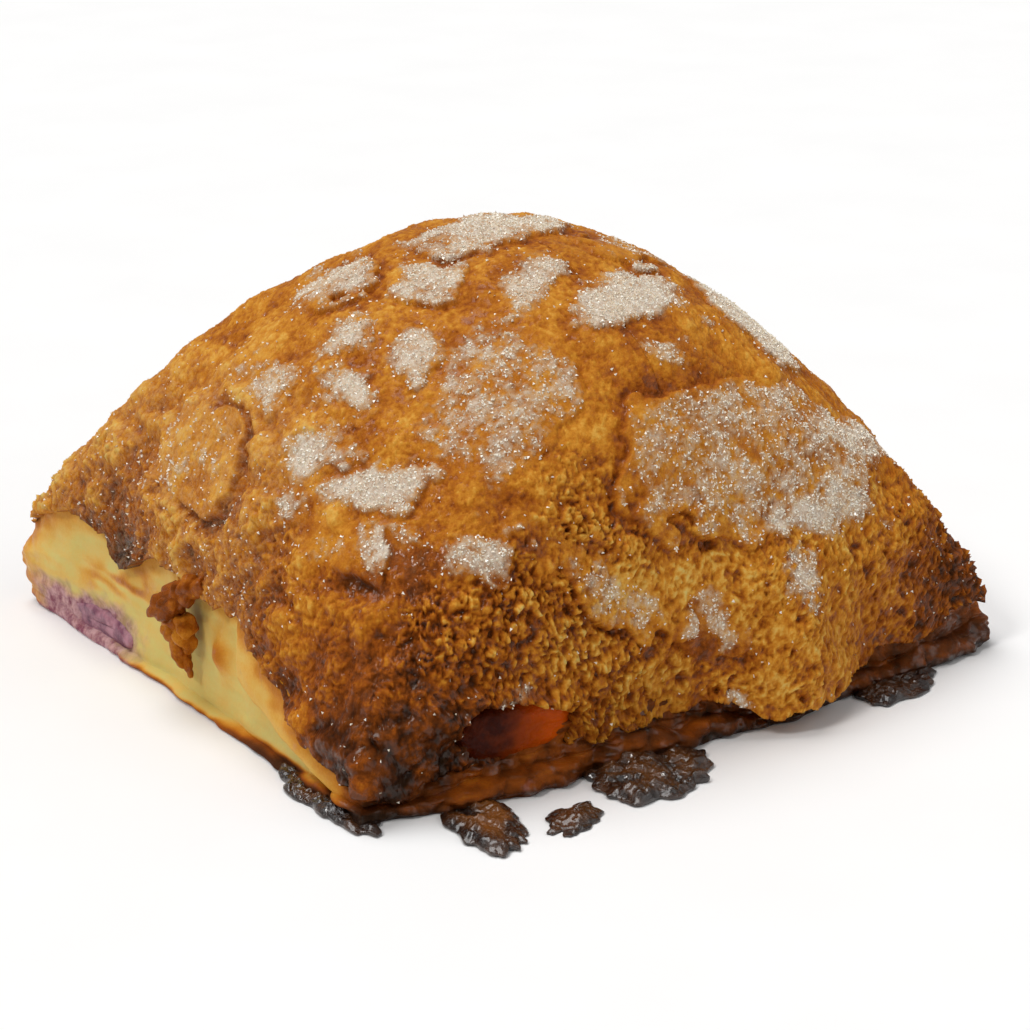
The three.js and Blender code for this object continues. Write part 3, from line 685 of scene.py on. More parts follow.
def crust_grid():
    """Plan shares of every node of the crust's grid, even along the arcs from the crown, and its ring."""
    n = CRUST_STEPS
    i, j = np.meshgrid(np.arange(-n, n + 1), np.arange(-n, n + 1), indexing="ij")
    i, j = i.ravel(), j.ravel()
    ring = np.maximum(np.abs(i), np.abs(j))
    ea, eb = to_border(i.astype(float), j.astype(float))
    way = np.select(
        [eb <= -1, ea >= 1, eb >= 1],
        [(ea + 1) / 2, 1 + (eb + 1) / 2, 2 + (1 - ea) / 2],
        3 + (1 - eb) / 2,
    )
    table = ray_shares(RAY_DIRECTIONS, n)
    place = way * RAY_DIRECTIONS / 4
    before = np.floor(place).astype(int)
    part = place - before
    here = table[before % RAY_DIRECTIONS, ring]
    beyond = table[(before + 1) % RAY_DIRECTIONS, ring]
    shares = here * (1 - part) + beyond * part
    return ea * shares, eb * shares, ring / n


def crust_surface():
    """Every node of the crust's grid: its place with all relief, and the values that colour it."""
    a, b, ring = crust_grid()
    p, q = layout_place(a, b)
    base = crust_point(a, b)
    height, shade = crust_relief(base, p, q)
    rise, hollow = sheet_relief(base, p, q)
    outside_window = window_reach(base) > 1.0
    frost = sugar_cover(base, p, q) * outside_window * (1 - 0.8 * smooth(0.2, 0.6, hollow))
    sugar, _, sugar_chance = cells(base, SUGAR_LUMP["size"], 80.0)
    frosted = smooth(0.05, 0.7, frost)
    bare = 1 - 0.55 * np.maximum(frosted, smooth(0.0, SHEET["rise"], rise))
    height = height * bare + rise - SHEET["hollow"] * hollow
    lump = SUGAR_LUMP["height"] * sugar * (0.6 + 0.4 * sugar_chance)
    height = height + frosted * (SUGAR_THICKNESS + lump)
    points = base + crust_normal(a, b) * height[:, None]
    edge = smooth(0.93, 1.0, ring)
    points[:, 2] += edge * 0.8 * value_noise(points[:, 0] / 1.6, points[:, 1] / 1.6, 8.0)
    points[:, 2] = np.maximum(points[:, 2], CRUST_LOWEST)
    # Painted shade: the relief's shade darkens the crust's hollows, pores and cracks, and the hollow beside
    # each raised sheet is darkened as painted shadow.
    bake = browning(base) + shade * bare + 0.13 * hollow
    haze = 0.04 + 0.22 * smooth(-0.35, -0.65, p) * smooth(-0.4, -0.15, q) + 0.06 * smooth(0.45, 0.65, p)
    haze = haze * outside_window
    burnt = burnt_share(base, BURNT_REACH["grains"])
    grains = np.maximum(frost ** 1.6, (0.14 * haze + 0.01 * burnt) * (1 - 0.6 * burnt))
    return points, {"bake": bake, "sugar": np.maximum(frost, haze), "grains": grains}


def grid_faces(numbers):
    """Triangles over a grid of point numbers, seen from outside with the first index along X."""
    c00, c10 = numbers[:-1, :-1].ravel(), numbers[1:, :-1].ravel()
    c11, c01 = numbers[1:, 1:].ravel(), numbers[:-1, 1:].ravel()
    return np.concatenate([np.stack([c00, c10, c11], -1), np.stack([c00, c11, c01], -1)])


def crust_quarter(name, points, values, columns, rows, finish):
    """One quarter of the crust as a closed wedge: its outside, and hidden faces to a point inside."""
    width = 2 * CRUST_STEPS + 1
    picked = np.arange(width * width).reshape(width, width)[columns, rows]
    numbers = np.arange(picked.size).reshape(picked.shape)
    outside = grid_faces(numbers)
    loop = np.concatenate([numbers[:-1, 0], numbers[-1, :-1], numbers[:0:-1, -1], numbers[0, :0:-1]])
    inner = np.full(len(loop), picked.size)
    inside = np.stack([inner, np.roll(loop, -1), loop], -1)
    own_points = np.concatenate([points[picked.ravel()], [INNER_POINT]])
    own_values = {key: np.append(value[picked.ravel()], 0.0) for key, value in values.items()}
    quarter = make_piece(name, own_points, np.concatenate([outside, inside]), finish, own_values)
    is_smooth = np.arange(len(outside) + len(inside)) < len(outside)
    quarter.data.polygons.foreach_set("use_smooth", is_smooth)
    return quarter


def make_crust(points, values, finish):
    """The crust in four quarters round the crown."""
    n = CRUST_STEPS
    halves = {"left": slice(0, n + 1), "right": slice(n, 2 * n + 1)}
    ends = {"front": slice(0, n + 1), "back": slice(n, 2 * n + 1)}
    return [
        crust_quarter(f"crust_{end}_{half}", points, values, halves[half], ends[end], finish)
        for end in ends
        for half in halves
    ]


def whole_crust(points, values, finish):
    """The whole outside of the crust as one surface, for strewing grains on."""
    width = 2 * CRUST_STEPS + 1
    numbers = np.arange(width * width).reshape(width, width)
    return make_piece("crust_outside", points, grid_faces(numbers), finish, values)


def side_ways(ea, eb):
    """Level direction that points straight out of the wall at each border direction."""
    x = by_side({"left": -1.0, "right": 1.0, "front": 0.0, "back": 0.0}, ea, eb)
    y = by_side({"left": 0.0, "right": 0.0, "front": -1.0, "back": 1.0}, ea, eb)
    length = np.hypot(x, y)
    return np.stack([x / length, y / length], -1)


def dough_rings(ea, eb):
    """Rings of the dough from its hidden lid down the wall, round the rim and under the base."""
    foot = foot_height(ea, eb)
    inset = lip_inset(ea, eb)
    rim = rim_height(ea, eb, foot)
    out = rim_out(ea, eb)
    down = np.linspace(0, 1, WALL_STEPS_DOWN)[:, None]
    corner = corner_share(ea, eb)
    bulge = CORNER_BULGE["out"] * corner
    top = foot + LID["over_foot"] - LID["lower_at_corner"] * corner
    wall_z = top + (rim - top) * down ** 0.9
    swollen = np.interp(down, [0.0, 0.45, 0.85, 1.0], [0.0, 1.0, 0.7, 0.45])
    wall = border_point(ea[None], eb[None], bulge * swollen - inset * (1 - 0.5 * down), wall_z)
    turn = np.linspace(0, 1, RIM_STEPS)[1:, None] * math.pi / 2
    start = 0.45 * bulge - 0.5 * inset
    rim_way = start + (out - start) * np.sin(turn)
    rim_rings = border_point(ea[None], eb[None], rim_way, rim * (0.4 + 0.6 * np.cos(turn)))
    fall = np.linspace(0, 1, RIM_STEPS // 2)[1:, None]
    sides = border_point(ea[None], eb[None], out - RIM_TUCK * fall ** 2, 0.4 * rim * (1 - fall))
    middle = sides[-1:] * np.array([0.5, 0.5, 1.0])
    lid = wall[:1] * np.array([0.6, 0.6, 1.0])
    return np.concatenate([lid, wall, rim_rings, sides, middle])


def dough_marks(points, ways, foot):
    """Where the wall and the rim have their fold, crease, blister, glaze, layers and other marks."""
    x, y, z = points.T
    left = np.maximum(0.0, -ways[:, 0]) ** 2
    fold_z = np.interp(-y, FOLD["along"], FOLD["rise"])
    past_fold = left * smooth(-10.5, -12.5, y)
    streak = perlin(np.stack([x / 4, y / 4, z], -1), 1.1)
    blister = bell(y, BLISTER["y"], BLISTER["half_width"]) * bell(z, BLISTER["z"], BLISTER["half_height"])
    sloped = z - GLAZE["z"] + GLAZE["slope"] * (y - GLAZE["y"])
    glaze = bell(y, GLAZE["y"], GLAZE["half_width"]) * bell(sloped, 0.0, GLAZE["half_height"])
    return {
        "y": y.copy(),
        "left": left,
        "right": np.maximum(0.0, ways[:, 0]) ** 2,
        "fold": past_fold * smooth(-0.15, 0.25, z - fold_z),
        "crease": past_fold * bell(z, fold_z - 0.15, 0.3) * smooth(-38, -33, y),
        "blister": left * blister,
        "berry": np.abs((y - BERRY["y"]) / BERRY["half_width"]),
        "streak": streak,
        "glaze": glaze * smooth(-0.35, 0.3, streak),
        "strata": perlin(np.stack([x / 7, y / 7, z], -1), 0.55),
        "pebble": cells(warped(points, 2.5, 0.8), 1.8, 5.0)[0],
        "under_crust": foot - z,
    }


def dough_relief(points, marks):
    """How far the wall and the rim stand out: a folded, wrinkled wall at the left and a lumpy rim."""
    x, y, z = points.T
    left, right = marks["left"], marks["right"]
    wrinkle = perlin(np.stack([x, y / 2.5, z], -1), 0.9)
    wall = 0.35 * perlin(points, 4.0) + 0.12 * marks["streak"] + 0.1 * wrinkle
    wall = wall + FOLD["out"] * marks["fold"] - FOLD["crease"] * marks["crease"]
    berry_band = left * np.exp(-(marks["berry"] ** 6)) * smooth(5.6, 4.6, z)
    wall = wall + BLISTER["out"] * marks["blister"] - 0.2 * berry_band
    rim = 0.3 * marks["strata"] + 0.6 * (billows(points, 3.0) - 0.4) + 0.2 * perlin(points, 1.0)
    rim = rim + (0.3 + 0.6 * right) * (marks["pebble"] - 0.5) + 0.9 * right * smooth(3.0, 5.0, z)
    return smooth(0.0, 0.5, z) * (left * wall + (1 - left) * rim)


def dough_values(points, marks):
    """Browning of the dough, with painted shade in the wall's crease and between the rim's lumps, the stain of
    the berries and how wet it is.
    """
    left, streak, glaze, blister = (marks[key] for key in ("left", "streak", "glaze", "blister"))
    x, y, z = points[:, 0], marks["y"], points[:, 2]
    near_crust = smooth(4.0, 0.3, marks["under_crust"] + perlin(points, 2.5))
    front_end = smooth(-4, -24, y)
    ground = smooth(0.9 + 1.0 * front_end, 0.3 + 0.4 * front_end, z + 0.25 * perlin(points, 2.6))
    # Painted shade: the crease beside the fold is darkened strongly in the wall's browning.
    pale = 0.04 + 0.06 * streak + 0.2 * near_crust + 0.1 * marks["fold"] + 0.75 * marks["crease"]
    pale = pale + 0.36 * (blister + glaze) + (0.5 + 0.4 * front_end) * ground
    pale = pale + 0.05 * perlin(points, 3.0) + 0.55 * smooth(-33, -39, y)
    from_corner = np.hypot(x - BURNT_RIM["x"], y - BURNT_RIM["y"])
    corner = np.exp(-((from_corner / BURNT_RIM["reach"]) ** 2))
    dark = RIM_TONE + 0.16 * smooth(-22, -4, x) + 0.14 * marks["strata"] + 0.12 * perlin(points, 4.0)
    # Painted shade: the rim is darkened in the cracks between its lumps and lightened on their tops.
    dark = dark + 0.24 * smooth(1.6, 0.3, z) + 0.08 * corner + 0.25 * (0.5 - marks["pebble"])
    dark = dark - 0.3 * marks["right"] * smooth(1.5, 4.5, z)
    cloud = 1.6 * perlin(points + 2.0, 2.2)
    stain = left * np.exp(-((marks["berry"] / 1.1) ** 4)) * smooth(6.6, 3.4, z + cloud)
    return {
        "bake": np.where(z < 0.03, BASE_TONE, left * pale + (1 - left) * dark),
        "stain": stain,
        "wet": (1 - left) * 0.9 + left * (0.8 * glaze + 0.6 * blister),
    }


def make_dough(finish):
    """The dough under the crust: the pale left wall with its fold, the rim along the foot and the base."""
    ea, eb = border_directions(WALL_STEPS_ROUND)
    rings = dough_rings(ea, eb)
    points, faces = closed_skin(rings)
    ways = np.concatenate([np.tile(side_ways(ea, eb), (len(rings), 1)), np.zeros((2, 2))])
    foot = np.concatenate([np.tile(foot_height(ea, eb), len(rings)), np.zeros(2)])
    marks = dough_marks(points, ways, foot)
    points[:, :2] += ways * dough_relief(points, marks)[:, None]
    return make_piece("dough", points, faces, finish, dough_values(points, marks))


def filling_part(filling, lumps):
    """A filling as rings along its length, rounded at both ends and lumpy."""
    length, rounding = filling["length"], filling["round"]
    ends = rounding * (1 - np.cos(np.linspace(0, math.pi / 2, 14)))
    along = np.concatenate([ends, np.linspace(rounding * 1.2, length / 2, 40)])
    along = np.concatenate([along, length - along[::-1][1:]])
    sides = 140
    angles = np.arange(sides) * 2 * math.pi / sides
    to_end = ramp(0, rounding, np.minimum(along, length - along))
    round_off = rounding * (1 - np.sqrt(1 - (1 - to_end) ** 2))
    flat = np.sign(np.cos(angles)) * np.abs(np.cos(angles)) ** 0.6
    wide = (filling["half_width"] - round_off)[:, None] * flat
    high = (filling["half_height"] - round_off)[:, None] * np.sin(angles)
    rings = np.stack([np.broadcast_to(along[:, None], wide.shape), wide, high], -1)[::-1]
    points, faces = closed_skin(rings)
    middle = points.mean(axis=0) * np.array([0.0, 1.0, 1.0])
    away = (points - middle) * np.array([0.0, 0.35, 1.0])
    away[:, 0] -= smooth(2.5, 0.0, points[:, 0])
    away = away / np.maximum(np.linalg.norm(away, axis=1, keepdims=True), 1e-6)
    skin = pebbles(points, 2.4) - 0.4 + 0.3 * perlin(points, 1.1)
    points = points + away * (lumps * skin)[:, None]
    turn = Matrix.Rotation(math.radians(filling["turn"]), 3, "Z")
    points = points @ np.array(turn).T + np.array([filling["x"], filling["y"], filling["z"]])
    points[:, 2] = np.maximum(points[:, 2], FILLING_LOWEST)
    return points, faces


def jam_part(jam):
    """A puddle of burnt jam: a ragged, blistered sheet that thins to its edge and lies on the ground."""
    sides = 260
    angles = np.arange(sides) * 2 * math.pi / sides
    cos, sin = np.cos(angles), np.sin(angles)
    reach = np.concatenate([np.linspace(0.03, 0.96, 40), [0.985, 1.0, 1.0, 0.97, 0.5]])
    height = np.interp(reach, [0.3, 0.62, 0.88, 1.0], [1.0, 0.95, 0.72, 0.35])
    height[-3:] = [0.16, 0.0, 0.0]
    coarse = value_noise(1.8 * cos, 1.8 * sin, jam["wave"])
    fine = value_noise(4.5 * cos, 4.5 * sin, jam["wave"] + 30.0)
    teeth = value_noise(9 * cos, 9 * sin, jam["wave"] + 50.0)
    shore = reach[:, None] ** 4
    ragged = 1 + JAM_RAGGED * (reach[:, None] * coarse + shore * (0.45 * fine + 0.1 * teeth))
    along = jam["long"] * reach[:, None] * ragged * cos
    across = jam["wide"] * reach[:, None] * ragged * sin
    rings = np.stack([along, across, np.broadcast_to(height[:, None], along.shape)], -1)
    points, faces = closed_skin(rings)
    flat = np.stack([points[:, 0], points[:, 1], np.full(len(points), jam["wave"] * 3.0)], -1)
    blister, _, chance = cells(warped(flat, 2.5, 0.8), 2.3, jam["wave"])
    lumps = 0.42 + 0.25 * value_noise(points[:, 0] / 2, points[:, 1] / 2, jam["wave"] + 0.5)
    lumps = lumps + 0.1 * blister * (1 + chance) + 0.16 * perlin(flat, 1.3) + 0.12 * perlin(flat, 0.6)
    points[:, 2] = np.maximum(points[:, 2] * jam["thick"] * lumps, 0.0)
    from_middle = np.append(np.repeat(reach, sides), [0, 1])
    caramel_and_painted_glow = smooth(0.25, 0.6, 0.5 + 0.5 * perlin(flat, 2.6)) * smooth(0.95, 0.5, from_middle)
    turn = Matrix.Rotation(math.radians(jam["turn"]), 3, "Z")
    points = points @ np.array(turn).T + np.array([jam["x"], jam["y"], 0.0])
    return points, faces, {"caramel_and_painted_glow": caramel_and_painted_glow * jam["caramel"]}


def lump_part(start, end, thick, seed):
    """A crumb between two points: an uneven body, fuller in the middle, with a craggy skin."""
    rings, sides = 60, 48
    rise = np.linspace(0.03, math.pi - 0.03, rings)
    angles = np.arange(sides) * 2 * math.pi / sides
    ball = np.stack([
        np.sin(rise)[:, None] * np.cos(angles),
        np.sin(rise)[:, None] * np.sin(angles),
        np.broadcast_to(np.cos(rise)[:, None], (rings, sides)),
    ], -1)
    points, faces = closed_skin(ball)
    start, end = Vector(start), Vector(end)
    half = (end - start) / 2
    sized = points * np.array([thick, thick, half.length + thick * 0.5])
    skin = 0.5 * (billows(sized + seed, 1.6) - 0.4) + 0.35 * perlin(sized + seed, 2.4)
    skin = skin + 0.12 * perlin(sized, 0.6)
    sized = sized + points * (thick * skin)[:, None]
    turn = np.array(half.to_track_quat("Z", "Y").to_matrix())
    return sized @ turn.T + np.array((start + end) / 2), faces


def make_lip_crumbs(finish):
    parts = []
    for number, crumb in enumerate(records(LIP_CRUMB_FIELDS, LIP_CRUMBS)):
        points, faces = lump_part(crumb["start"], crumb["end"], crumb["thick"], 8.0 * number)
        bake = crumb["bake"] + 0.16 * perlin(points, 1.4)
        sugar = np.full(len(points), crumb["sugar"])
        parts.append((points, faces, {"bake": bake, "sugar": sugar}))
    points, faces, values = joined(parts)
    return make_piece("lip_crumbs", points, faces, finish, values)


def add_node(tree, kind, **settings):
    node = tree.nodes.new(kind)
    for key, value in settings.items():
        setattr(node, key, value)
    return node


def link(tree, output, target):
    tree.links.new(output, target)


def set_ramp(node, stops):
    """Gives a colour ramp its stops, each a place and a linear colour."""
    stretch = node.color_ramp
    while len(stretch.elements) < len(stops):
        stretch.elements.new(1.0)
    for element, (place, colour) in zip(stretch.elements, stops):
        element.position = place
        element.color = (*colour, 1.0)


def attribute_node(tree, name):
    return add_node(tree, "ShaderNodeAttribute", attribute_type="GEOMETRY", attribute_name=name)


def noise_node(tree, scale, detail=2.0, roughness=0.5):
    """Noise on the piece's own coordinates, with the scale in lumps per metre."""
    place = add_node(tree, "ShaderNodeTexCoord")
    node = add_node(tree, "ShaderNodeTexNoise")
    node.inputs["Scale"].default_value = scale
    node.inputs["Detail"].default_value = detail
    node.inputs["Roughness"].default_value = roughness
    link(tree, place.outputs["Object"], node.inputs["Vector"])
    return node


def math_node(tree, operation, first, second):
    """A sum of two values, each a socket or a plain number."""
    node = add_node(tree, "ShaderNodeMath", operation=operation)
    for socket, value in zip(node.inputs, (first, second)):
        if isinstance(value, (int, float)):
            socket.default_value = value
        else:
            link(tree, value, socket)
    return node.outputs["Value"]


def mix_node(tree, share, first, second):
    """A blend of two colours, each a socket or a linear colour."""
    node = add_node(tree, "ShaderNodeMix", data_type="RGBA")
    link(tree, share, node.inputs["Factor"])
    for socket, value in ((node.inputs[6], first), (node.inputs[7], second)):
        if isinstance(value, tuple):
            socket.default_value = (*value, 1.0)
        else:
            link(tree, value, socket)
    return node.outputs[2]


def range_node(tree, value, low, high, to_low=0.0, to_high=1.0):
    node = add_node(tree, "ShaderNodeMapRange", clamp=True)
    link(tree, value, node.inputs["Value"])
    node.inputs["From Min"].default_value = low
    node.inputs["From Max"].default_value = high
    node.inputs["To Min"].default_value = to_low
    node.inputs["To Max"].default_value = to_high
    return node.outputs["Result"]


def group_with(name, inputs, outputs):
    """A shader node group with named sockets: returns the tree and its inner input and output nodes."""
    tree = bpy.data.node_groups.new(name, "ShaderNodeTree")
    for label, kind, value in inputs:
        socket = tree.interface.new_socket(label, in_out="INPUT", socket_type=kind)
        socket.default_value = value
    for label, kind in outputs:
        tree.interface.new_socket(label, in_out="OUTPUT", socket_type=kind)
    return tree, add_node(tree, "NodeGroupInput"), add_node(tree, "NodeGroupOutput")


def bake_group():
    """Baked colour: the point's browning, made uneven by specks and blotches, read off the oven's range."""
    tree, start, end = group_with(
        "Baked tone",
        [("Unevenness", "NodeSocketFloat", 0.1)],
        [("Color", "NodeSocketColor"), ("Tone", "NodeSocketFloat")],
    )
    bake = attribute_node(tree, "bake")
    blotch = noise_node(tree, 700.0, 4.0, 0.65)
    speck = noise_node(tree, 3800.0, 3.0, 0.65)
    mixed = math_node(tree, "ADD", blotch.outputs["Fac"], speck.outputs["Fac"])
    centred = math_node(tree, "SUBTRACT", mixed, 1.0)
    shift = math_node(tree, "MULTIPLY", centred, start.outputs["Unevenness"])
    tone = math_node(tree, "ADD", bake.outputs["Fac"], shift)
    colours = add_node(tree, "ShaderNodeValToRGB")
    set_ramp(colours, BAKE_STOPS)
    link(tree, tone, colours.inputs["Fac"])
    link(tree, colours.outputs["Color"], end.inputs["Color"])
    link(tree, tone, end.inputs["Tone"])
    return tree


def sugar_group():
    """Frozen sugar: where it whitens the surface, with the grain of its crystals."""
    tree, start, end = group_with(
        "Sugar frost",
        [("Whitest", "NodeSocketFloat", 0.74)],
        [("Share", "NodeSocketFloat"), ("Grain", "NodeSocketFloat"), ("Color", "NodeSocketColor")],
    )
    sugar = attribute_node(tree, "sugar")
    grain = noise_node(tree, 3600.0, 4.0, 0.85)
    clump = noise_node(tree, 1100.0, 3.0, 0.7)
    uneven = math_node(tree, "ADD", grain.outputs["Fac"], clump.outputs["Fac"])
    spread = math_node(tree, "MULTIPLY", math_node(tree, "SUBTRACT", uneven, 1.0), 1.3)
    cover = sugar.outputs["Fac"]
    share = range_node(tree, math_node(tree, "ADD", cover, spread), 0.1, 1.0)
    whitened = math_node(tree, "MULTIPLY", share, start.outputs["Whitest"])
    shown = math_node(tree, "MULTIPLY", whitened, range_node(tree, cover, 0.06, 0.4))
    thick = math_node(tree, "ADD", grain.outputs["Fac"], math_node(tree, "MULTIPLY", cover, 0.7))
    tint = mix_node(tree, range_node(tree, thick, 0.6, 1.25), (0.7, 0.5, 0.26), (0.93, 0.87, 0.75))
    link(tree, shown, end.inputs["Share"])
    link(tree, grain.outputs["Fac"], end.inputs["Grain"])
    link(tree, tint, end.inputs["Color"])
    return tree


def new_finish(name):
    """A node material: returns it, its tree and its Principled shader."""
    finish = bpy.data.materials.new(name)
    finish.use_nodes = True
    tree = finish.node_tree
    return finish, tree, tree.nodes["Principled BSDF"]


def bump(tree, height, strength, distance, target):
    node = add_node(tree, "ShaderNodeBump")
    node.inputs["Strength"].default_value = strength
    node.inputs["Distance"].default_value = distance
    link(tree, height, node.inputs["Height"])
    link(tree, node.outputs["Normal"], target)


def crust_finish(groups):
    """Baked crust with fine sugar frozen on it: wet with sharp glints where dark, matt where sugar lies."""
    finish, tree, shader = new_finish("crust")
    baked = add_node(tree, "ShaderNodeGroup", node_tree=groups["bake"])
    baked.inputs["Unevenness"].default_value = 0.24
    frost = add_node(tree, "ShaderNodeGroup", node_tree=groups["sugar"])
    frost.inputs["Whitest"].default_value = 0.74
    colour = mix_node(tree, frost.outputs["Share"], baked.outputs["Color"], frost.outputs["Color"])
    link(tree, colour, shader.inputs["Base Color"])
    gloss = range_node(tree, baked.outputs["Tone"], 0.3, 0.8, 0.5, 0.3)
    rough = math_node(tree, "ADD", gloss, math_node(tree, "MULTIPLY", frost.outputs["Share"], 0.2))
    link(tree, rough, shader.inputs["Roughness"])
    wet = noise_node(tree, 700.0, 2.0, 0.5)
    spots = range_node(tree, wet.outputs["Fac"], 0.46, 0.58)
    dark = range_node(tree, baked.outputs["Tone"], 0.35, 0.7, 0.05, 0.5)
    link(tree, math_node(tree, "MULTIPLY", spots, dark), shader.inputs["Coat Weight"])
    fine = noise_node(tree, 1700.0, 4.0, 0.7)
    crumbly = range_node(tree, baked.outputs["Tone"], 0.3, 0.5, 0.6, 1.0)
    glazed = range_node(tree, baked.outputs["Tone"], 0.55, 0.7, 1.0, 0.3)
    crumbs = math_node(tree, "MULTIPLY", fine.outputs["Fac"], math_node(tree, "MULTIPLY", crumbly, glazed))
    crystals = math_node(tree, "MULTIPLY", frost.outputs["Grain"], frost.outputs["Share"])
    bump(tree, math_node(tree, "ADD", crumbs, crystals), 0.7, 0.0004, shader.inputs["Normal"])
    shader.inputs["Specular IOR Level"].default_value = 0.1
    shader.inputs["Specular Tint"].default_value = (1.0, 0.7, 0.35, 1.0)
    shader.inputs["Coat Roughness"].default_value = 0.08
    return finish


def dough_finish(groups):
    """Pale raw-looking dough at the left wall, browned along the edges and stained by the berries."""
    finish, tree, shader = new_finish("dough")
    baked = add_node(tree, "ShaderNodeGroup", node_tree=groups["bake"])
    baked.inputs["Unevenness"].default_value = 0.12
    stain = attribute_node(tree, "stain")
    cloud = noise_node(tree, 380.0, 4.0, 0.6)
    patchy = math_node(tree, "ADD", stain.outputs["Fac"], cloud.outputs["Fac"])
    share = range_node(tree, patchy, 0.62, 1.32, 0.0, 0.95)
    fruit = noise_node(tree, 700.0, 4.0, 0.65)
    ripe = range_node(tree, fruit.outputs["Fac"], 0.38, 0.62)
    purple = mix_node(tree, ripe, (0.2, 0.045, 0.1), (0.55, 0.32, 0.34))
    colour = mix_node(tree, share, baked.outputs["Color"], purple)
    link(tree, colour, shader.inputs["Base Color"])
    wet = attribute_node(tree, "wet")
    link(tree, range_node(tree, wet.outputs["Fac"], 0.0, 0.8, 0.55, 0.35), shader.inputs["Roughness"])
    shader.inputs["Specular IOR Level"].default_value = 0.15
    shader.inputs["Specular Tint"].default_value = (1.0, 0.75, 0.45, 1.0)
    fine = noise_node(tree, 1200.0, 5.0, 0.65)
    deeper = range_node(tree, wet.outputs["Fac"], 0.0, 0.8, 0.6, 1.6)
    rough = math_node(tree, "MULTIPLY", fine.outputs["Fac"], deeper)
    bump(tree, rough, 0.4, 0.0004, shader.inputs["Normal"])
    spots = range_node(tree, noise_node(tree, 600.0, 2.0).outputs["Fac"], 0.5, 0.62, 0.0, 0.9)
    link(tree, math_node(tree, "MULTIPLY", spots, wet.outputs["Fac"]), shader.inputs["Coat Weight"])
    shader.inputs["Coat Roughness"].default_value = 0.1
    shader.inputs["Subsurface Weight"].default_value = 0.25
    shader.inputs["Subsurface Radius"].default_value = (1.0, 0.6, 0.25)
    shader.inputs["Subsurface Scale"].default_value = 0.0015
    return finish


def crystal_finish():
    """Granulated sugar: off-white crystals with bright facets."""
    finish, tree, shader = new_finish("sugar_crystal")
    shade = noise_node(tree, 5000.0, 1.0)
    share = range_node(tree, shade.outputs["Fac"], 0.38, 0.62)
    link(tree, mix_node(tree, share, (0.78, 0.67, 0.48), (0.97, 0.94, 0.87)), shader.inputs["Base Color"])
    link(tree, range_node(tree, shade.outputs["Fac"], 0.3, 0.7, 0.25, 0.08), shader.inputs["Roughness"])
    return finish


def burnt_jam_finish():
    """Burnt jam: glossy and nearly black, with caramel where it is thin."""
    finish, tree, shader = new_finish("burnt_jam")
    caramel_and_painted_glow = attribute_node(tree, "caramel_and_painted_glow")
    cloud = noise_node(tree, 420.0, 4.0, 0.65)
    spread = math_node(tree, "MULTIPLY", math_node(tree, "SUBTRACT", cloud.outputs["Fac"], 0.45), 0.9)
    share = range_node(tree, math_node(tree, "ADD", caramel_and_painted_glow.outputs["Fac"], spread), 0.0, 1.0)
    colour = mix_node(tree, share, (0.014, 0.006, 0.004), (0.26, 0.085, 0.012))
    link(tree, colour, shader.inputs["Base Color"])
    link(tree, range_node(tree, cloud.outputs["Fac"], 0.3, 0.7, 0.14, 0.32), shader.inputs["Roughness"])
    fine = noise_node(tree, 1500.0, 4.0, 0.6)
    bump(tree, fine.outputs["Fac"], 0.8, 0.0005, shader.inputs["Normal"])
    shader.inputs["Coat Weight"].default_value = 0.8
    shader.inputs["Coat Roughness"].default_value = 0.08
    return finish


def berry_finish():
    """Moist purple fruit, paler where its skins broke."""
    finish, tree, shader = new_finish("berry")
    cloud = noise_node(tree, 520.0, 4.0, 0.6)
    share = range_node(tree, cloud.outputs["Fac"], 0.36, 0.64)
    link(tree, mix_node(tree, share, (0.14, 0.025, 0.07), (0.44, 0.2, 0.25)), shader.inputs["Base Color"])
    link(tree, range_node(tree, cloud.outputs["Fac"], 0.3, 0.7, 0.28, 0.5), shader.inputs["Roughness"])
    fine = noise_node(tree, 1600.0, 4.0, 0.6)
    bump(tree, fine.outputs["Fac"], 0.4, 0.0004, shader.inputs["Normal"])
    shader.inputs["Subsurface Weight"].default_value = 0.2
    shader.inputs["Subsurface Radius"].default_value = (1.0, 0.4, 0.5)
    shader.inputs["Subsurface Scale"].default_value = 0.001
    return finish


def amber_finish():
    """Set jam: a painted glow makes it orange as if lit through, and painted shade makes it nearly brown
    elsewhere.
    """
    finish, tree, shader = new_finish("amber_jam")
    caramel_and_painted_glow = attribute_node(tree, "caramel_and_painted_glow")
    cloud = noise_node(tree, 330.0, 3.0, 0.6)
    spread = math_node(tree, "MULTIPLY", math_node(tree, "SUBTRACT", cloud.outputs["Fac"], 0.5), 0.7)
    share = range_node(tree, math_node(tree, "ADD", caramel_and_painted_glow.outputs["Fac"], spread), 0.0, 1.0)
    colour = mix_node(tree, share, (0.045, 0.005, 0.001), (0.56, 0.08, 0.002))
    link(tree, colour, shader.inputs["Base Color"])
    link(tree, range_node(tree, cloud.outputs["Fac"], 0.3, 0.7, 0.12, 0.3), shader.inputs["Roughness"])
    fine = noise_node(tree, 900.0, 3.0, 0.6)
    bump(tree, fine.outputs["Fac"], 0.5, 0.0006, shader.inputs["Normal"])
    shader.inputs["Specular IOR Level"].default_value = 0.08
    shader.inputs["Subsurface Weight"].default_value = 0.3
    shader.inputs["Subsurface Radius"].default_value = (1.0, 0.25, 0.05)
    shader.inputs["Subsurface Scale"].default_value = 0.002
    return finish


SCATTER_INPUTS = [
    ("Surface", "NodeSocketGeometry"),
    ("Cover", "NodeSocketString"),
    ("Grains per square metre", "NodeSocketFloat"),
    ("Smallest", "NodeSocketVector"),
    ("Largest", "NodeSocketVector"),
    ("Sink", "NodeSocketFloat"),
    ("Seed", "NodeSocketInt"),
    ("Finish", "NodeSocketMaterial"),
]


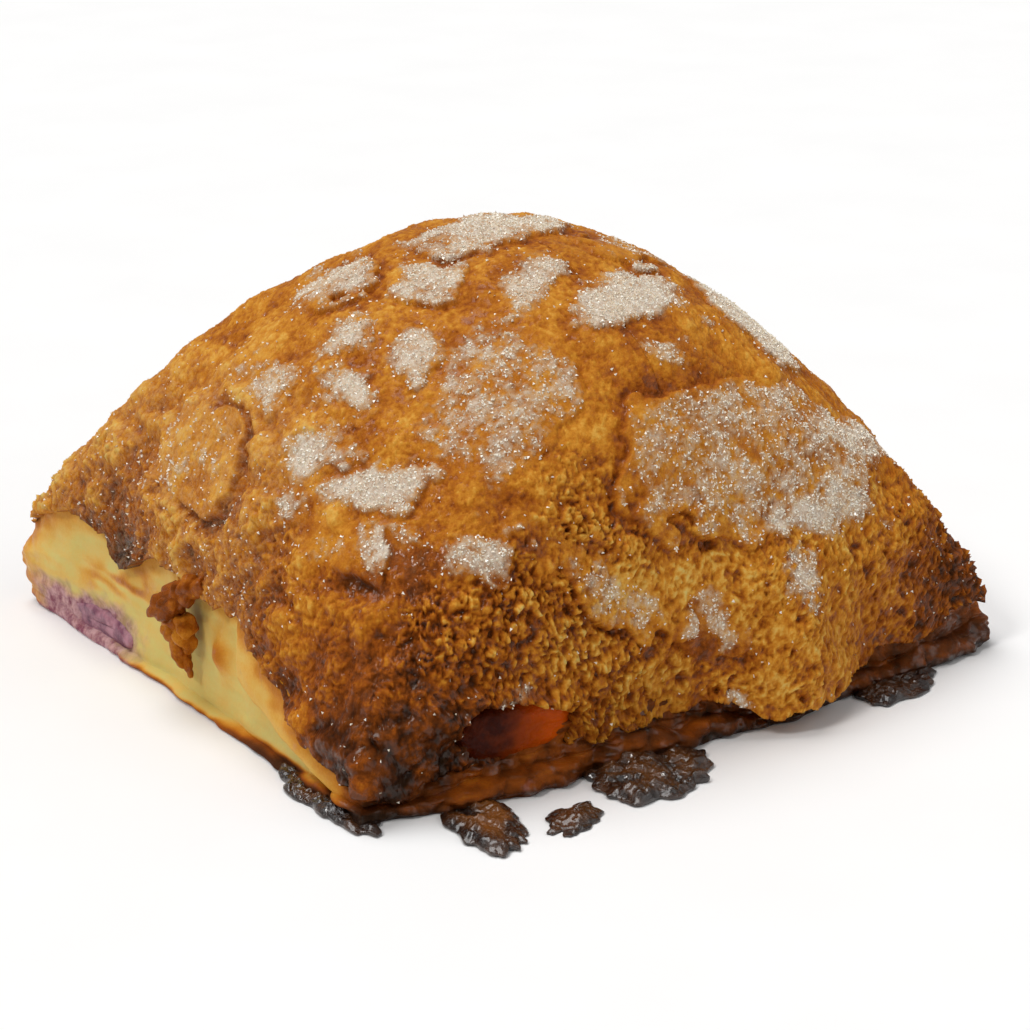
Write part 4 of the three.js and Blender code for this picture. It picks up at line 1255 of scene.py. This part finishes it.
def scatter_tree(name):
    """Grains strewn over a surface where the cover value asks for them, each turned and sized by chance."""
    tree = bpy.data.node_groups.new(name, "GeometryNodeTree")
    tree.is_modifier = True
    sockets = {}
    for label, kind in SCATTER_INPUTS:
        sockets[label] = tree.interface.new_socket(label, in_out="INPUT", socket_type=kind).identifier
    tree.interface.new_socket("Grains", in_out="OUTPUT", socket_type="NodeSocketGeometry")
    start, end = add_node(tree, "NodeGroupInput"), add_node(tree, "NodeGroupOutput")
    cover = add_node(tree, "GeometryNodeInputNamedAttribute", data_type="FLOAT")
    link(tree, start.outputs["Cover"], cover.inputs["Name"])
    whole = start.outputs["Grains per square metre"]
    density = math_node(tree, "MULTIPLY", cover.outputs["Attribute"], whole)
    strewn = add_node(tree, "GeometryNodeDistributePointsOnFaces", distribute_method="RANDOM")
    link(tree, start.outputs["Surface"], strewn.inputs["Mesh"])
    link(tree, density, strewn.inputs["Density"])
    link(tree, start.outputs["Seed"], strewn.inputs["Seed"])
    sunk = add_node(tree, "GeometryNodeSetPosition")
    inward = add_node(tree, "ShaderNodeVectorMath", operation="SCALE")
    link(tree, strewn.outputs["Normal"], inward.inputs[0])
    link(tree, math_node(tree, "MULTIPLY", start.outputs["Sink"], -1.0), inward.inputs["Scale"])
    link(tree, strewn.outputs["Points"], sunk.inputs["Geometry"])
    link(tree, inward.outputs["Vector"], sunk.inputs["Offset"])
    size = add_node(tree, "FunctionNodeRandomValue", data_type="FLOAT_VECTOR")
    link(tree, start.outputs["Smallest"], size.inputs["Min"])
    link(tree, start.outputs["Largest"], size.inputs["Max"])
    link(tree, start.outputs["Seed"], size.inputs["Seed"])
    turn = add_node(tree, "FunctionNodeRandomValue", data_type="FLOAT_VECTOR")
    turn.inputs["Max"].default_value = (2 * math.pi, 2 * math.pi, 2 * math.pi)
    link(tree, math_node(tree, "ADD", start.outputs["Seed"], 1.0), turn.inputs["Seed"])
    grain = add_node(tree, "GeometryNodeMeshCone")
    for label, value in (("Vertices", 3), ("Radius Bottom", 0.6), ("Depth", 1.0)):
        grain.inputs[label].default_value = value
    placed = add_node(tree, "GeometryNodeInstanceOnPoints")
    link(tree, sunk.outputs["Geometry"], placed.inputs["Points"])
    link(tree, grain.outputs["Mesh"], placed.inputs["Instance"])
    link(tree, turn.outputs["Value"], placed.inputs["Rotation"])
    link(tree, size.outputs["Value"], placed.inputs["Scale"])
    real = add_node(tree, "GeometryNodeRealizeInstances")
    link(tree, placed.outputs["Instances"], real.inputs["Geometry"])
    shaded = add_node(tree, "GeometryNodeSetShadeSmooth")
    shaded.inputs["Shade Smooth"].default_value = False
    link(tree, real.outputs["Geometry"], shaded.inputs["Geometry"])
    dressed = add_node(tree, "GeometryNodeSetMaterial")
    link(tree, shaded.outputs["Geometry"], dressed.inputs["Geometry"])
    link(tree, start.outputs["Finish"], dressed.inputs["Material"])
    link(tree, dressed.outputs["Geometry"], end.inputs["Grains"])
    return tree, sockets


def strew(name, surface, scatter, settings):
    """A piece of grains strewn over a surface, as a plain mesh."""
    tree, sockets = scatter
    piece = bpy.data.objects.new(name, surface.data.copy())
    bpy.context.scene.collection.objects.link(piece)
    modifier = piece.modifiers.new("Strew", "NODES")
    modifier.node_group = tree
    for label, value in settings.items():
        modifier[sockets[label]] = value
    evaluated = piece.evaluated_get(bpy.context.evaluated_depsgraph_get())
    mesh = bpy.data.meshes.new_from_object(evaluated)
    piece.modifiers.clear()
    piece.data = mesh
    return piece


def attach(piece, slot, *nodes):
    """The piece moves with the whole pastry and stands for its nodes, which are hidden."""
    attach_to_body(piece, "root")
    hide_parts(*nodes)


def build_pastry():
    groups = {"bake": bake_group(), "sugar": sugar_group()}
    crust_look = crust_finish(groups)
    crystal_look = crystal_finish()
    points, values = crust_surface()
    quarters = make_crust(points, values, crust_look)
    outside = whole_crust(points, values, crust_look)
    dough = make_dough(dough_finish(groups))
    lip = make_lip_crumbs(crust_look)
    scatter = scatter_tree("Strewn crystals")
    crystals = strew("sugar_crystals", outside, scatter, {
        "Cover": "grains",
        "Grains per square metre": CRYSTAL["count"],
        "Smallest": (CRYSTAL["smallest"], CRYSTAL["smallest"], CRYSTAL["smallest"]),
        "Largest": (CRYSTAL["largest"], CRYSTAL["largest"], CRYSTAL["flattest"]),
        "Sink": CRYSTAL["sink"],
        "Seed": 3,
        "Finish": crystal_look,
    })
    bpy.data.objects.remove(outside)
    for piece in (*quarters, dough, lip, crystals):
        attach(piece, "crust", "pastry")


def build_fillings():
    points, faces = filling_part(BERRY, 1.0)
    berry = make_piece("berry_filling_fruit", points, faces, berry_finish())
    attach(berry, "berry", "berry_filling")
    points, faces = filling_part(AMBER, 0.35)
    # Painted glow and shade: the jam is brighter towards the right of the window and darker to the left, under
    # the crust.
    caramel_and_painted_glow = smooth(WINDOW["x"] - 4.0, WINDOW["x"] + 5.0, points[:, 0])
    amber = make_piece("amber_jam_painted_glow", points, faces, amber_finish(), {"caramel_and_painted_glow": caramel_and_painted_glow})
    attach(amber, "jam", "amber_jam")


def build_burnt_jam():
    look = burnt_jam_finish()
    for node, row in BURNT_JAM.items():
        points, faces, values = jam_part(dict(zip(JAM_FIELDS, row)))
        piece = make_piece(node + "_crust", points, faces, look, values)
        attach(piece, "burnt_jam", node)


def build_camera():
    camera = bpy.data.objects.new("camera", bpy.data.cameras.new("camera"))
    bpy.context.scene.collection.objects.link(camera)
    azimuth, elevation = math.radians(CAMERA_AZIMUTH), math.radians(CAMERA_ELEVATION)
    level = math.cos(elevation)
    back = Vector((math.sin(azimuth) * level, -math.cos(azimuth) * level, math.sin(elevation)))
    camera.location = (Vector(CAMERA_AIM) + CAMERA_DISTANCE * back) * MM
    camera.rotation_euler = back.to_track_quat("Z", "Y").to_euler()
    camera.data.sensor_width = SENSOR
    camera.data.lens = PIXELS_PER_MM * CAMERA_DISTANCE / PHOTO_WIDTH * SENSOR
    camera.data.clip_start = 0.01
    bpy.context.scene.camera = camera


def add_sun(name, place, softness, power, colour):
    """Even light from a broad part of the room, coming from the given place towards the pastry."""
    data = bpy.data.lights.new(name, "SUN")
    data.angle = math.radians(softness)
    data.energy = power
    data.color = colour
    light = bpy.data.objects.new(name, data)
    light.location = place
    light.rotation_euler = Vector(place).to_track_quat("Z", "Y").to_euler()
    bpy.context.scene.collection.objects.link(light)


def floor_finish():
    finish, tree, shader = new_finish("floor")
    grain = noise_node(tree, 40.0, 3.0)
    share = range_node(tree, grain.outputs["Fac"], 0.3, 0.7)
    link(tree, mix_node(tree, share, (0.9, 0.9, 0.9), (0.92, 0.92, 0.92)), shader.inputs["Base Color"])
    shader.inputs["Roughness"].default_value = 0.9
    return finish


def build_stage():
    """A plain pale floor, a bright even room, light from above and behind, and a small light for glints."""
    corners = FLOOR_HALF * np.array([[-1.0, -1.0, 0.0], [1.0, -1.0, 0.0], [1.0, 1.0, 0.0], [-1.0, 1.0, 0.0]])
    floor = make_piece("floor", corners, np.array([[0, 1, 2], [0, 2, 3]]), floor_finish(), flat=True)
    world = bpy.data.worlds.new("studio")
    world.use_nodes = True
    room = world.node_tree.nodes["Background"]
    room.inputs["Color"].default_value = (1.0, 1.0, 1.0, 1.0)
    room.inputs["Strength"].default_value = ROOM_BRIGHTNESS
    bpy.context.scene.world = world
    for name, settings in LIGHTS.items():
        add_sun(name, *settings)
    bpy.context.scene.view_settings.view_transform = "Standard"


build_camera()
build_stage()
build_pastry()
build_fillings()
build_burnt_jam()
